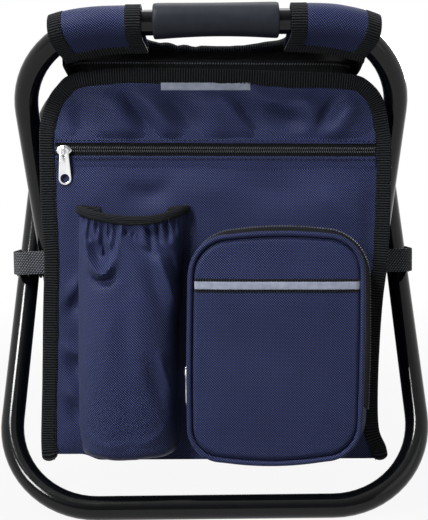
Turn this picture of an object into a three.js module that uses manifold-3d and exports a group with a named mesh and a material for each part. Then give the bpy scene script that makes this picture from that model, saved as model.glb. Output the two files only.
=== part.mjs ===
// Folding cooler stool: two bent-tube hoops pivoted as an X, a fabric seat slung
// between their top rails and an insulated bag hung in the middle.
// Millimetres, +Z up, floor at z = 0, the front (grip side) towards -Y.

import * as THREE from 'three';
import { mergeVertices } from 'three/addons/utils/BufferGeometryUtils.js';
import Module from 'manifold-3d';

// Clearance between pieces that touch, and how far a cutter runs past what it cuts
const CLEAR = 0.3;
const OVER = 1;

// Frame tubes
const TUBE_R = 9.5;
const TUBE_WALL = 1.2;
const TUBE_SIDES = 16;
const BEND_R = 75;
const BEND_STEPS = 7;
const BORE_SIDES = 8;
const SEAM = 0.6;
const LEAN = THREE.MathUtils.degToRad(35);
const TOP_REACH = 238;
const FOOT_REACH = 219;
const BAG_HOOP_HALF = 167.5;

// Pivot hardware
const WASHER_T = 1.0;
const WASHER_R = 8;
const RIVET_R = 3;
const RIVET_HEAD_R = 6.5;
const RIVET_HEAD_T = 1.2;

// Seat, sleeves and grip, which sit a little off the middle of the rails
const SEAT_SHIFT = 4.5;
const GRIP_LENGTH = 94;
const GRIP_R = 13.5;
const GRIP_WAIST = 0.9;
const GRIP_LIP = 2;
const SLEEVE_WALL = 3.2;
const SLEEVE_DROP = 22;
const SLEEVE_TAIL = 5;
const SLEEVE_INNER = 55.5;
const SLEEVE_OUTER = 117.5;
const SLEEVE_SLANT = THREE.MathUtils.degToRad(18);
const SLEEVE_BEND_STEPS = 5;
const SLEEVE_WRAP = THREE.MathUtils.degToRad(120);
const SLEEVE_WRAP_STEPS = 8;
const TAPE_T = 0.8;
const SLEEVE_TAPE_W = 10;
const SEAT_T = 2.4;
const SEAT_SAG = 12;
const SEAT_LIFT = 4;
const SEAT_EASE = 2;
const SEAT_STEPS = 12;
const CUTOUT_DEPTH = 52;
const CUTOUT_FLARE = 0.8;
const CUTOUT_ROUND = 0.4;

// Bag
const BAG_EASE = 4;
const BAG_BOTTOM = 42;
const BAG_DROP = 32.5;
const FRONT_Y = -106;
const BACK_Y = 94;
const PANEL_T = 2;
const FIN = 6.5;
const BACK_TRIM = 6.5;
const CORNER_W = 28;
const CORNER_H = 50;
const HEM_R = 14;
const HEM_MIN_R = 1;
const BIND_W = 12;
const BIND_SEAT = 8;
const BIND_SKIN = 0.7;
const FOAM_T = 5;
const FOIL_T = 0.8;
const LINER_DROP = 14;
const LID_T = 4;
const LID_R = 20;

// Zips
const TAPE_Y = 1;
const TEETH_W = 4;
const TEETH_T = 0.6;
const MAIN_ZIP_H = 4.3;
const MAIN_ZIP_STOP = 10.7;
const FRONT_ZIP_W = 11;
const FRONT_ZIP_DROP = 61.5;
const SLIDER_W = 9;
const SLIDER_H = 10;
const SLIDER_T = 2.2;
const BAIL_W = 1.6;
const BAIL_H = 7;
const BAIL_GAP = 2.2;
const BAIL_T = 1.1;
const BAIL_ROOT = 0.5;
const PULL_LENGTH = 25;
const MAIN_PULL_LENGTH = 19;
const MAIN_PULL_TILT = THREE.MathUtils.degToRad(-35);
const PULL_TOP_W = 7;
const PULL_END_W = 10;
const PULL_T = 1.2;
const PULL_BAR = 1.3;
const PULL_EYE_R = 3.6;

// Reflective patch
const PATCH_W = 70;
const PATCH_H = 6.2;
const PATCH_DROP = 12;
const PATCH_X = -4;

// Bottle pocket, its width as a share of the bag's
const BOTTLE_SHARE = 0.2818;
const BOTTLE_DEPTH = 38;
const BOTTLE_FLOOR = 53;
const BOTTLE_RIM = 247;
const BOTTLE_RIM_SAG = 10;
const BOTTLE_WALL = 2.2;
const BOTTLE_STEPS = 14;
const BOTTLE_FULLNESS = 0.8;
const BOTTLE_SWELL = 0.06;
const ELASTIC_H = 9;
const ELASTIC_T = 1.4;

// Zipped front pocket, its width as a share of the bag's
const POCKET_SHARE = 0.5058;
const POCKET_MARGIN = 16.4;
const POCKET_GAP = 9;
const POCKET_Z = 137.5;
const POCKET_HALF_H = 92;
const POCKET_R = 40;
const POCKET_STEPS = 6;
const POCKET_TAPER = 4;
const POCKET_BASE_DEPTH = 14;
const POCKET_FLAP_DEPTH = 16;
const POCKET_WALL = 2;
const POCKET_TAPE_W = 8;
const POCKET_TAPE_END = 96;
const POCKET_SLIDER_Z = 116;
const PIPING_R = 2;
const PIPING_SIDES = 6;
const FACE_BEVEL = 1;
const RIBBON_Z = 185;
const RIBBON_W = 10;
const BAND_W = 5.6;

// Side loops
const LOOP_H = 22.4;
const LOOP_RISE = 6.3;
const LOOP_T = 1.2;
const LOOP_HALF_Y = 25;
const LOOP_R = 14;
const LOOP_FLANGE = 15;

// Places worked out from the sizes above
const PIVOT_GAP = WASHER_T + 2 * CLEAR;
const GRIP_HOOP_HALF = BAG_HOOP_HALF - 2 * TUBE_R - PIVOT_GAP;
const PIVOT_Z = FOOT_REACH * Math.cos(LEAN) + TUBE_R * Math.cos(Math.PI / TUBE_SIDES);
const RAIL_Y = TOP_REACH * Math.sin(LEAN);
const RAIL_Z = PIVOT_Z + TOP_REACH * Math.cos(LEAN);
const SLEEVE_R = TUBE_R + SLEEVE_WALL;
const GUSSET_X = GRIP_HOOP_HALF - TUBE_R - CLEAR - RIVET_HEAD_T - BAG_EASE;
const BAG_HALF = GUSSET_X + FIN;
const BAG_TOP = RAIL_Z - BAG_DROP;
const TOP_FLAT = BAG_HALF - CORNER_W;
const BIND_T = BIND_SKIN + CLEAR;
const FRONT_ZIP_HALF = BAG_HALF - BIND_W - CLEAR;
const POCKET_HALF_W = POCKET_SHARE * BAG_HALF;
const POCKET_X = BAG_HALF - POCKET_MARGIN - POCKET_HALF_W;
const BOTTLE_HALF = BOTTLE_SHARE * BAG_HALF;
const BOTTLE_X = POCKET_X - POCKET_HALF_W - POCKET_GAP - BOTTLE_HALF;

// Materials
const finish = (color, roughness, metalness = 0) =>
  new THREE.MeshStandardMaterial({ color, roughness, metalness });
const coatedSteel = finish(0x0a0b0d, 0.28, 0.2);
const navyCloth = finish(0x2b3157, 0.85);
const blackTape = finish(0x1d1f1e, 0.9);
const foam = finish(0x3a3d46, 0.8);
const nickel = finish(0xd5d6d8, 0.25, 1);
const rivetSteel = finish(0x1a1b1d, 0.35, 0.6);
const nylon = finish(0x26272a, 0.6);
const reflective = finish(0xa3a9b8, 0.4, 0.3);
const whiteFoam = finish(0xe6e6e2, 0.9);
const foil = finish(0xc8ccd1, 0.3, 0.9);

const wasm = await Module();
wasm.setup();

// Solids for joining and cutting
function solidOf(geometry) {
  const bare = geometry.clone();
  bare.deleteAttribute('normal');
  bare.deleteAttribute('uv');
  const merged = mergeVertices(bare, 1e-4);
  const index = merged.index.array;
  const faces = [];
  for (let i = 0; i < index.length; i += 3) {
    const [a, b, c] = [index[i], index[i + 1], index[i + 2]];
    if (a !== b && b !== c && c !== a) faces.push(a, b, c);
  }
  const vertProperties = Float32Array.from(merged.attributes.position.array);
  const triVerts = Uint32Array.from(faces);
  return new wasm.Manifold(new wasm.Mesh({ numProp: 3, vertProperties, triVerts }));
}

function geometryOf(solid) {
  const { vertProperties, triVerts } = solid.getMesh();
  const geometry = new THREE.BufferGeometry();
  geometry.setAttribute('position', new THREE.BufferAttribute(vertProperties, 3));
  geometry.setIndex(new THREE.BufferAttribute(triVerts, 1));
  geometry.computeVertexNormals();
  return geometry;
}

const cut = (body, ...tools) =>
  geometryOf(tools.reduce((rest, tool) => rest.subtract(solidOf(tool)), solidOf(body)));
const keep = (body, mask) => geometryOf(solidOf(body).intersect(solidOf(mask)));
const join = (first, ...others) =>
  geometryOf(others.reduce((all, next) => all.add(solidOf(next)), solidOf(first)));

function box(x0, x1, y0, y1, z0, z1) {
  const geometry = new THREE.BoxGeometry(x1 - x0, y1 - y0, z1 - z0);
  return geometry.translate((x0 + x1) / 2, (y0 + y1) / 2, (z0 + z1) / 2);
}

// A front-view outline (x, z) given thickness from y0 back to y1
function prism(shape, y0, y1, curveSegments = 6) {
  const geometry = new THREE.ExtrudeGeometry(shape, { depth: y1 - y0, bevelEnabled: false, curveSegments });
  return geometry.rotateX(Math.PI / 2).translate(0, y1, 0);
}

// A plan outline (x, y) given height from z0 up to z1
function slab(shape, z0, z1, curveSegments = 6) {
  const geometry = new THREE.ExtrudeGeometry(shape, { depth: z1 - z0, bevelEnabled: false, curveSegments });
  return geometry.translate(0, 0, z0);
}

// A side-view outline (y, z) given width from x0 to x1
function rail(shape, x0, x1) {
  const geometry = new THREE.ExtrudeGeometry(shape, { depth: x1 - x0, bevelEnabled: false });
  return geometry.rotateY(Math.PI / 2).rotateX(Math.PI / 2).translate(x0, 0, 0);
}

// A profile of [radius, distance along X] turned about the X axis
function turned(profile, segments = 20) {
  const points = profile.map(([r, x]) => new THREE.Vector2(r, x));
  return new THREE.LatheGeometry(points, segments).rotateZ(-Math.PI / 2);
}

// A skin over rings of equally many points, either capped at both ends or closed on itself
function loft(rings, closed) {
  const count = rings[0].length;
  const position = rings.flat().flatMap((p) => [p.x, p.y, p.z]);
  const index = [];
  const bands = closed ? rings.length : rings.length - 1;
  for (let k = 0; k < bands; k += 1) {
    const next = (k + 1) % rings.length;
    for (let i = 0; i < count; i += 1) {
      const j = (i + 1) % count;
      index.push(k * count + i, k * count + j, next * count + j);
      index.push(k * count + i, next * count + j, next * count + i);
    }
  }
  if (!closed) {
    for (const [k, flip] of [[0, true], [rings.length - 1, false]]) {
      const middle = new THREE.Vector3();
      rings[k].forEach((p) => middle.addScaledVector(p, 1 / count));
      const hub = position.length / 3;
      position.push(middle.x, middle.y, middle.z);
      for (let i = 0; i < count; i += 1) {
        const [a, b] = [k * count + i, k * count + ((i + 1) % count)];
        index.push(hub, flip ? b : a, flip ? a : b);
      }
    }
  }
  const geometry = new THREE.BufferGeometry();
  geometry.setAttribute('position', new THREE.Float32BufferAttribute(position, 3));
  geometry.setIndex(index);
  geometry.computeVertexNormals();
  return geometry;
}

// A bent tube's centreline, given only at the ends of its straights and along its bends
class BentLine extends THREE.Curve {
  constructor(stations) {
    super();
    this.stations = stations;
  }

  at(u) {
    return this.stations[Math.round(u * (this.stations.length - 1))];
  }

  getPointAt(u, target = new THREE.Vector3()) {
    return target.copy(this.at(u).point);
  }

  getTangentAt(u, target = new THREE.Vector3()) {
    return target.copy(this.at(u).tangent);
  }
}

function sweep(shape, stations) {
  const steps = stations.length - 1;
  return new THREE.ExtrudeGeometry(shape, { steps, extrudePath: new BentLine(stations) });
}

const station = (x, v, heading) => ({
  point: new THREE.Vector3(x, v, 0),
  tangent: new THREE.Vector3(Math.cos(heading), Math.sin(heading), 0),
});

// Stations of one bend, turning left from its entry heading, over some of its steps
function bend(centreX, centreV, heading, first = 0, last = BEND_STEPS) {
  const stations = [];
  for (let i = first; i <= last; i += 1) {
    const h = heading + (i / BEND_STEPS) * (Math.PI / 2);
    stations.push(station(centreX + BEND_R * Math.sin(h), centreV - BEND_R * Math.cos(h), h));
  }
  return stations;
}

// Hoops lie in their own plane: x across, v from the pivot up to the top rail
const bendX = (half) => half - BEND_R;
const TOP_BEND_V = TOP_REACH - BEND_R;
const FOOT_BEND_V = BEND_R - FOOT_REACH;

function hoopStations(half) {
  const side = bendX(half);
  return [
    station(-SEAM / 2, TOP_REACH, Math.PI),
    ...bend(-side, TOP_BEND_V, Math.PI),
    ...bend(-side, FOOT_BEND_V, 1.5 * Math.PI),
    ...bend(side, FOOT_BEND_V, 2 * Math.PI),
    ...bend(side, TOP_BEND_V, 2.5 * Math.PI),
    station(SEAM / 2, TOP_REACH, Math.PI),
  ];
}

// Stations along the top rail, from right to left, between two places or round its bends
const rightBend = (half) => bend(bendX(half), TOP_BEND_V, Math.PI / 2, BEND_STEPS - SLEEVE_BEND_STEPS);
const leftBend = (half) => bend(-bendX(half), TOP_BEND_V, Math.PI, 0, SLEEVE_BEND_STEPS);

function circle(radius, sides, facet) {
  const points = [];
  for (let k = 0; k < sides; k += 1) {
    const angle = facet + ((k + 0.5) * 2 * Math.PI) / sides;
    points.push(new THREE.Vector2(radius * Math.cos(angle), radius * Math.sin(angle)));
  }
  return points;
}

// Tube section with one facet turned to lie on the floor
function tubeSection(facet) {
  const shape = new THREE.Shape(circle(TUBE_R, TUBE_SIDES, facet));
  shape.holes.push(new THREE.Path(circle(TUBE_R - TUBE_WALL, BORE_SIDES, facet)));
  return shape;
}

function hoopTube(half, facet) {
  const reach = half + TUBE_R + OVER;
  const bore = RIVET_R + CLEAR;
  const drill = turned([[0, -reach], [bore, -reach], [bore, reach], [0, reach]], 16);
  return cut(sweep(tubeSection(facet), hoopStations(half)), drill);
}

// Rivet from the inside of the grip hoop to the outside of the bag hoop
function pivotRivet() {
  const inner = GRIP_HOOP_HALF - TUBE_R - CLEAR;
  const outer = BAG_HOOP_HALF + TUBE_R + CLEAR;
  const edge = RIVET_HEAD_T / 2;
  return turned([
    [0, inner - RIVET_HEAD_T],
    [RIVET_HEAD_R - edge, inner - RIVET_HEAD_T],
    [RIVET_HEAD_R, inner - edge],
    [RIVET_HEAD_R, inner],
    [RIVET_R, inner],
    [RIVET_R, outer],
    [RIVET_HEAD_R, outer],
    [RIVET_HEAD_R, outer + edge],
    [RIVET_HEAD_R - edge, outer + RIVET_HEAD_T],
    [0, outer + RIVET_HEAD_T],
  ]);
}

function pivotWasher() {
  const bore = RIVET_R + CLEAR;
  const near = GRIP_HOOP_HALF + TUBE_R + CLEAR;
  const far = near + WASHER_T;
  return turned([[bore, near], [WASHER_R, near], [WASHER_R, far], [bore, far], [bore, near]]);
}

// Foam tube with rounded ends and a slight waist
function gripFoam() {
  const bore = (TUBE_R + CLEAR) / Math.cos(Math.PI / TUBE_SIDES);
  const half = GRIP_LENGTH / 2;
  const lip = GRIP_LIP;
  const profile = [[bore, -half], [GRIP_R - lip, -half], [GRIP_R, lip - half]];
  for (const t of [-0.6, -0.3, 0, 0.3, 0.6]) {
    profile.push([GRIP_R - GRIP_WAIST * (1 - t * t), t * half]);
  }
  profile.push([GRIP_R, half - lip], [GRIP_R - lip, half], [bore, half], [bore, -half]);
  return turned(profile);
}

// Teardrop section of a seat sleeve: round the rail, with a sewn tail towards the pivot
function sleeveOutline(grow) {
  const radius = SLEEVE_R + grow;
  const tail = SLEEVE_TAIL / 2 + grow;
  const points = [];
  for (let k = -SLEEVE_WRAP_STEPS; k <= SLEEVE_WRAP_STEPS; k += 1) {
    const angle = (k / SLEEVE_WRAP_STEPS) * SLEEVE_WRAP;
    points.push(new THREE.Vector2(radius * Math.sin(angle), -radius * Math.cos(angle)));
  }
  points.push(new THREE.Vector2(tail, SLEEVE_DROP + grow), new THREE.Vector2(-tail, SLEEVE_DROP + grow));
  return points;
}

function sleeveSection(outerGrow, hole) {
  const shape = new THREE.Shape(sleeveOutline(outerGrow));
  shape.holes.push(new THREE.Path(hole));
  return shape;
}

// Everything on the inner side of a slanted cut across the rail at x, on one side
function insideSlant(x, side) {
  const far = 2 * TOP_REACH;
  const block = box(-far, 0, -far, far, -far, far);
  block.rotateZ(-SLEEVE_SLANT).translate(Math.abs(x), TOP_REACH, 0);
  return side > 0 ? block : block.rotateY(Math.PI);
}

function sleeve(stations, facet, ends) {
  const bore = circle((TUBE_R + CLEAR) / Math.cos(Math.PI / TUBE_SIDES), TUBE_SIDES, facet);
  const body = sweep(sleeveSection(0, bore), stations);
  return ends.reduce((rest, [x, side]) => keep(rest, insideSlant(x, side)), body);
}

// Grosgrain tape sewn round the outer end, and along the lower edge to the inner end
function sleeveTape(stations, outerX, side, innerX) {
  const hole = sleeveOutline(CLEAR);
  const skin = sweep(sleeveSection(CLEAR + TAPE_T, hole), stations);
  const trimmed = keep(skin, insideSlant(outerX, side));
  const outer = cut(trimmed, insideSlant(outerX - side * SLEEVE_TAPE_W, side));
  if (innerX === undefined) return outer;
  const half = SLEEVE_TAIL + TAPE_T;
  const edge = [[-half, SLEEVE_DROP - SLEEVE_TAPE_W], [half, SLEEVE_DROP - SLEEVE_TAPE_W],
    [half, SLEEVE_DROP + half], [-half, SLEEVE_DROP + half]];
  const edgeShape = new THREE.Shape(edge.map(([a, b]) => new THREE.Vector2(a, b)));
  const lower = keep(trimmed, sweep(edgeShape, stations));
  const [near, far] = [innerX, innerX + side * SLEEVE_TAPE_W];
  const reach = 2 * SLEEVE_DROP;
  const end = keep(trimmed, box(Math.min(near, far), Math.max(near, far),
    TOP_REACH - reach, TOP_REACH + reach, -reach, reach));
  return join(outer, lower, end);
}

// Seat sheet, sagging between the sleeves, with a hand cut-out behind the grip
function seatSheet() {
  const touch = SLEEVE_R + TAPE_T + 2 * CLEAR;
  const half = RAIL_Y - touch - SEAT_EASE;
  const level = RAIL_Z + SEAT_LIFT;
  const top = [];
  const under = [];
  for (let k = 0; k <= SEAT_STEPS; k += 1) {
    const y = -half + (2 * half * k) / SEAT_STEPS;
    const z = level - SEAT_SAG * (1 - (y / half) ** 2);
    top.push(new THREE.Vector2(y, z));
    under.unshift(new THREE.Vector2(y, z - SEAT_T));
  }
  const section = new THREE.Shape([...top, ...under]);
  const sheet = rail(section, SEAT_SHIFT - SLEEVE_OUTER, SEAT_SHIFT + SLEEVE_OUTER);
  const [flare, round] = [CUTOUT_FLARE * SLEEVE_INNER, CUTOUT_ROUND * SLEEVE_INNER];
  const [open, deep] = [-half - OVER, CUTOUT_DEPTH - half];
  const hand = new THREE.Shape();
  hand.moveTo(SEAT_SHIFT - SLEEVE_INNER, open);
  hand.lineTo(SEAT_SHIFT + SLEEVE_INNER, open);
  hand.bezierCurveTo(SEAT_SHIFT + flare, deep, SEAT_SHIFT + round, deep, SEAT_SHIFT, deep);
  hand.bezierCurveTo(SEAT_SHIFT - round, deep, SEAT_SHIFT - flare, deep, SEAT_SHIFT - SLEEVE_INNER, open);
  return cut(sheet, slab(hand, level - SEAT_SAG - SEAT_T - OVER, level + OVER));
}

// Bag outline in front view: upright sides, wide rounded shoulders, small lower corners
function bagOutline(inset, half = BAG_HALF, extraDrop = 0) {
  const h = half - inset;
  const flat = half - CORNER_W;
  const shoulder = BAG_TOP - CORNER_H;
  const bottom = BAG_BOTTOM + inset - extraDrop;
  const hem = Math.max(HEM_R - inset, HEM_MIN_R);
  const quarter = Math.PI / 2;
  const shape = new THREE.Shape();
  shape.moveTo(hem - h, bottom);
  shape.lineTo(h - hem, bottom);
  shape.absarc(h - hem, bottom + hem, hem, -quarter, 0, false);
  shape.lineTo(h, shoulder);
  shape.absellipse(flat, shoulder, CORNER_W - inset, CORNER_H - inset, 0, quarter, false);
  shape.lineTo(-flat, BAG_TOP - inset);
  shape.absellipse(-flat, shoulder, CORNER_W - inset, CORNER_H - inset, quarter, Math.PI, false);
  shape.lineTo(-h, bottom + hem);
  shape.absarc(hem - h, bottom + hem, hem, Math.PI, 3 * quarter, false);
  return shape;
}

const panelInset = BIND_W - BIND_SEAT;

function bagPanel(y0, half) {
  return prism(bagOutline(panelInset, half), y0, y0 + PANEL_T);
}

// Folded tape over the seam: sides and top, with the panel's edge held in its fold
function bagBinding(y0, half) {
  const y1 = y0 + PANEL_T;
  const tape = prism(bagOutline(0, half), y0 - BIND_T, y1 + BIND_T);
  const window = prism(bagOutline(BIND_W, half, 2 * BIND_W), y0 - 2 * BIND_T, y1 + 2 * BIND_T);
  const fold = prism(bagOutline(panelInset - CLEAR, half), y0 - CLEAR, y1 + CLEAR);
  return cut(tape, window, fold);
}

const SHELL_FRONT = FRONT_Y + PANEL_T + BIND_T + CLEAR;
const SHELL_BACK = BACK_Y - PANEL_T - BIND_T - CLEAR;

// Fabric running round the bag between the panels, before it is cut into sides and base
function bagWrap() {
  const outer = prism(bagOutline(FIN), SHELL_FRONT, SHELL_BACK);
  return cut(outer, prism(bagOutline(FIN + PANEL_T), SHELL_FRONT - OVER, SHELL_BACK + OVER));
}

function gusset(side) {
  const inner = TOP_FLAT;
  const outer = BAG_HALF + OVER;
  const mask = box(Math.min(side * inner, side * outer), Math.max(side * inner, side * outer),
    FRONT_Y, BACK_Y, BAG_BOTTOM, BAG_TOP);
  return keep(bagWrap(), mask);
}

function basePanel() {
  const half = TOP_FLAT - CLEAR;
  return keep(bagWrap(), box(-half, half, FRONT_Y, BACK_Y, BAG_BOTTOM, BAG_BOTTOM + FIN + PANEL_T + OVER));
}

// Open-topped tub that lines the bag
function tub(inset, wall) {
  const gap = inset - FIN - PANEL_T - CLEAR;
  const front = SHELL_FRONT + gap;
  const back = SHELL_BACK - gap;
  const outer = prism(bagOutline(inset), front, back);
  const inner = prism(bagOutline(inset + wall), front + wall, back - wall);
  const rim = BAG_TOP - LINER_DROP;
  const above = box(-BAG_HALF, BAG_HALF, FRONT_Y, BACK_Y, rim, BAG_TOP + OVER);
  const mouthHalf = TOP_FLAT - inset;
  const mouth = box(-mouthHalf, mouthHalf, front + wall, back - wall, BAG_TOP - CORNER_H, BAG_TOP);
  return cut(outer, inner, above, mouth);
}

const FOAM_INSET = FIN + PANEL_T + CLEAR;
const FOIL_INSET = FOAM_INSET + FOAM_T + CLEAR;

// Lid flap over the main zip
const LID_Z = BAG_TOP + CLEAR + MAIN_ZIP_H + CLEAR;
const LID_BACK = SHELL_BACK - CLEAR;

function lidPanel() {
  const r = LID_R;
  const shape = new THREE.Shape();
  shape.moveTo(-TOP_FLAT, LID_BACK);
  shape.lineTo(-TOP_FLAT, FRONT_Y + r);
  shape.absarc(r - TOP_FLAT, FRONT_Y + r, r, Math.PI, 1.5 * Math.PI, false);
  shape.lineTo(TOP_FLAT - r, FRONT_Y);
  shape.absarc(TOP_FLAT - r, FRONT_Y + r, r, 1.5 * Math.PI, 2 * Math.PI, false);
  shape.lineTo(TOP_FLAT, LID_BACK);
  return slab(shape, LID_Z, LID_Z + LID_T);
}

// Zip tape standing round the front and both sides of the lid, with skirts down to the gussets
function mainZipTape() {
  const run = SHELL_BACK - MAIN_ZIP_STOP;
  const ring = (inset) => {
    const shape = new THREE.Shape();
    const r = LID_R - inset;
    const h = TOP_FLAT - inset;
    const front = FRONT_Y + inset;
    shape.moveTo(-h, run + inset);
    shape.lineTo(-h, front + r);
    shape.absarc(r - h, front + r, r, Math.PI, 1.5 * Math.PI, false);
    shape.lineTo(h - r, front);
    shape.absarc(h - r, front + r, r, 1.5 * Math.PI, 2 * Math.PI, false);
    shape.lineTo(h, run + inset);
    return shape;
  };
  const z0 = BAG_TOP + CLEAR;
  const t = TAPE_Y + TEETH_T;
  const band = cut(slab(ring(0), z0, z0 + MAIN_ZIP_H), slab(ring(t), z0 - OVER, z0 + MAIN_ZIP_H + OVER));
  const skirt = (x) => box(x, x + t, FRONT_Y + LID_R, run, BAG_TOP - FIN + CLEAR, z0 + MAIN_ZIP_H / 2);
  return join(band, skirt(-TOP_FLAT), skirt(TOP_FLAT - t));
}

const FRONT_ZIP_Z = BAG_TOP - FRONT_ZIP_DROP;

// Flat tape with its teeth standing proud along the middle
function frontZipTape() {
  const y = FRONT_Y - CLEAR;
  const [w, t] = [FRONT_ZIP_W / 2, TEETH_W / 2];
  const profile = [[y, -w], [y, w], [y - TAPE_Y, w], [y - TAPE_Y, t], [y - TAPE_Y - TEETH_T, t],
    [y - TAPE_Y - TEETH_T, -t], [y - TAPE_Y, -t], [y - TAPE_Y, -w]];
  const shape = new THREE.Shape(profile.map(([a, b]) => new THREE.Vector2(a, FRONT_ZIP_Z + b)));
  return rail(shape, -FRONT_ZIP_HALF, FRONT_ZIP_HALF);
}

// Zip slider facing -Y: a shield-shaped body with an arched bail, back face at y = 0
function zipSlider() {
  const [w, h] = [SLIDER_W / 2, SLIDER_H / 2];
  const shield = new THREE.Shape();
  shield.moveTo(-0.7 * w, -h);
  shield.lineTo(0.7 * w, -h);
  shield.quadraticCurveTo(w, 0, w, 0.5 * h);
  shield.quadraticCurveTo(0.8 * w, h, 0, h);
  shield.quadraticCurveTo(-0.8 * w, h, -w, 0.5 * h);
  shield.quadraticCurveTo(-w, 0, -0.7 * w, -h);
  const body = prism(shield, -SLIDER_T, 0, 4);
  const b = BAIL_H / 2;
  const outer = -SLIDER_T - BAIL_GAP - BAIL_T;
  const root = BAIL_ROOT - SLIDER_T;
  const arch = [[root, -b], [root, b], [-SLIDER_T - BAIL_GAP, b],
    [outer, b - BAIL_T], [outer, BAIL_T - b], [-SLIDER_T - BAIL_GAP, -b]];
  const bail = rail(new THREE.Shape(arch.map(([y, z]) => new THREE.Vector2(y, z))), -BAIL_W / 2, BAIL_W / 2);
  const eye = box(-BAIL_W, BAIL_W, -SLIDER_T - BAIL_GAP, -SLIDER_T, BAIL_T - b, b - BAIL_T);
  return cut(join(body, bail), eye);
}

// Height of the pull's bar above the slider's middle, and its distance in front of the back face
const BAR_Z = BAIL_H / 2 - BAIL_T - CLEAR - PULL_BAR / 2;
const BAR_Y = -SLIDER_T - BAIL_GAP / 2;

// Pull tab hanging from its bar at the origin: tapered, with a slot for the bail and an eye
function zipPull(length) {
  const [top, end] = [PULL_TOP_W / 2, PULL_END_W / 2];
  const tab = new THREE.Shape();
  tab.moveTo(-top, PULL_BAR / 2);
  tab.lineTo(-end, end - length);
  tab.absarc(0, end - length, end, Math.PI, 2 * Math.PI, false);
  tab.lineTo(top, PULL_BAR / 2);
  const slotHalf = BAIL_W / 2 + 2 * CLEAR;
  const slotEnd = -(BAR_Z + BAIL_H / 2 + CLEAR);
  const slot = new THREE.Path();
  slot.moveTo(-slotHalf, -PULL_BAR / 2);
  slot.lineTo(slotHalf, -PULL_BAR / 2);
  slot.lineTo(slotHalf, slotEnd);
  slot.lineTo(-slotHalf, slotEnd);
  tab.holes.push(slot);
  const eye = new THREE.Path();
  eye.absarc(0, end - length, PULL_EYE_R, 0, 2 * Math.PI, true);
  tab.holes.push(eye);
  return prism(tab, -PULL_T / 2, PULL_T / 2, 8);
}

// Bottle pocket, open at the top: rings run from one back corner round the front to the other
const BOTTLE_BACK = FRONT_Y - 2 * CLEAR - ELASTIC_T;

function bottleRing(z, swell, inset, sag = 0) {
  const points = [];
  for (let k = 0; k <= BOTTLE_STEPS; k += 1) {
    const angle = Math.PI + (Math.PI * k) / BOTTLE_STEPS;
    const x = BOTTLE_X + (BOTTLE_HALF * swell - inset) * Math.cos(angle);
    const bulge = Math.abs(Math.sin(angle)) ** BOTTLE_FULLNESS;
    const y = BOTTLE_BACK - inset - (BOTTLE_DEPTH * swell - 2 * inset) * bulge;
    points.push(new THREE.Vector3(x, y, z - sag * bulge));
  }
  return points;
}

// Swell of the bottle pocket by share of its height
const bottleSwell = (t) => 1 - BOTTLE_SWELL + BOTTLE_SWELL * Math.sin(Math.PI * Math.min(1, 1.2 * t + 0.15));

function bottlePocket() {
  const height = BOTTLE_RIM - BOTTLE_FLOOR;
  const ring = (t, inset, lift, shrink = 1) =>
    bottleRing(BOTTLE_FLOOR + lift + t * (height - lift), shrink * bottleSwell(t), inset,
      BOTTLE_RIM_SAG * t * t);
  const levels = [0.08, 0.25, 0.45, 0.65, 0.85, 1];
  const outside = [ring(0, 0, 0, 0.72), ring(0.03, 0, 0, 0.93), ...levels.map((t) => ring(t, 0, 0))];
  const inside = levels.map((t) => ring(t, BOTTLE_WALL, BOTTLE_WALL)).reverse();
  inside.push(ring(0.03, BOTTLE_WALL, BOTTLE_WALL, 0.93), ring(0.005, BOTTLE_WALL, BOTTLE_WALL, 0.72));
  return loft([...outside, ...inside], false);
}

function bottleElastic() {
  const low = BOTTLE_RIM - ELASTIC_H;
  const share = (z) => (z - BOTTLE_FLOOR) / (BOTTLE_RIM - BOTTLE_FLOOR);
  const band = (z, inset) => bottleRing(z, bottleSwell(share(z)), inset, BOTTLE_RIM_SAG * share(z) ** 2);
  const [near, far] = [-CLEAR, -CLEAR - ELASTIC_T];
  return loft([band(low, far), band(BOTTLE_RIM, far), band(BOTTLE_RIM, near), band(low, near)], true);
}

// Rounded-rectangle outline of the zipped pocket at depth y, shrunk by some amount
function pocketRing(y, shrink) {
  const [w, h] = [POCKET_HALF_W - shrink, POCKET_HALF_H - shrink];
  const r = POCKET_R - shrink;
  const points = [];
  for (let corner = 0; corner < 4; corner += 1) {
    const sx = corner === 0 || corner === 3 ? 1 : -1;
    const sz = corner < 2 ? 1 : -1;
    for (let k = 0; k <= POCKET_STEPS; k += 1) {
      const a = (corner + k / POCKET_STEPS) * (Math.PI / 2);
      points.push(new THREE.Vector3(POCKET_X + sx * (w - r) + r * Math.cos(a), y,
        POCKET_Z + sz * (h - r) + r * Math.sin(a)));
    }
  }
  return points;
}

const POCKET_BACK = FRONT_Y - CLEAR;
const POCKET_SPLIT = POCKET_BACK - POCKET_BASE_DEPTH;
const FLAP_BACK = POCKET_SPLIT - CLEAR;
const FLAP_FRONT = FLAP_BACK - POCKET_FLAP_DEPTH;
const pocketShrink = (y) => (POCKET_TAPER * (POCKET_BACK - y)) / (POCKET_BACK - FLAP_FRONT);

// A wall following the pocket's outline between two depths
function pocketWall(y0, y1, grow, wall) {
  const [s0, s1] = [pocketShrink(y0) - grow, pocketShrink(y1) - grow];
  const outside = [pocketRing(y0, s0), pocketRing(y1, s1)];
  const inside = [pocketRing(y1, s1 + wall), pocketRing(y0, s0 + wall)];
  return loft([...outside, ...inside], true);
}

const outlineShape = (ring) => new THREE.Shape(ring.map((p) => new THREE.Vector2(p.x, p.z)));

function pocketZipTape() {
  const front = POCKET_SPLIT + CLEAR;
  const tape = pocketWall(front + POCKET_TAPE_W, front, CLEAR + TAPE_Y, TAPE_Y);
  const wide = POCKET_HALF_W + POCKET_TAPE_W;
  const low = POCKET_Z - POCKET_HALF_H - POCKET_TAPE_W;
  return cut(tape, box(POCKET_X - wide, POCKET_X + wide, FLAP_FRONT, FRONT_Y, low, POCKET_TAPE_END));
}

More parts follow.
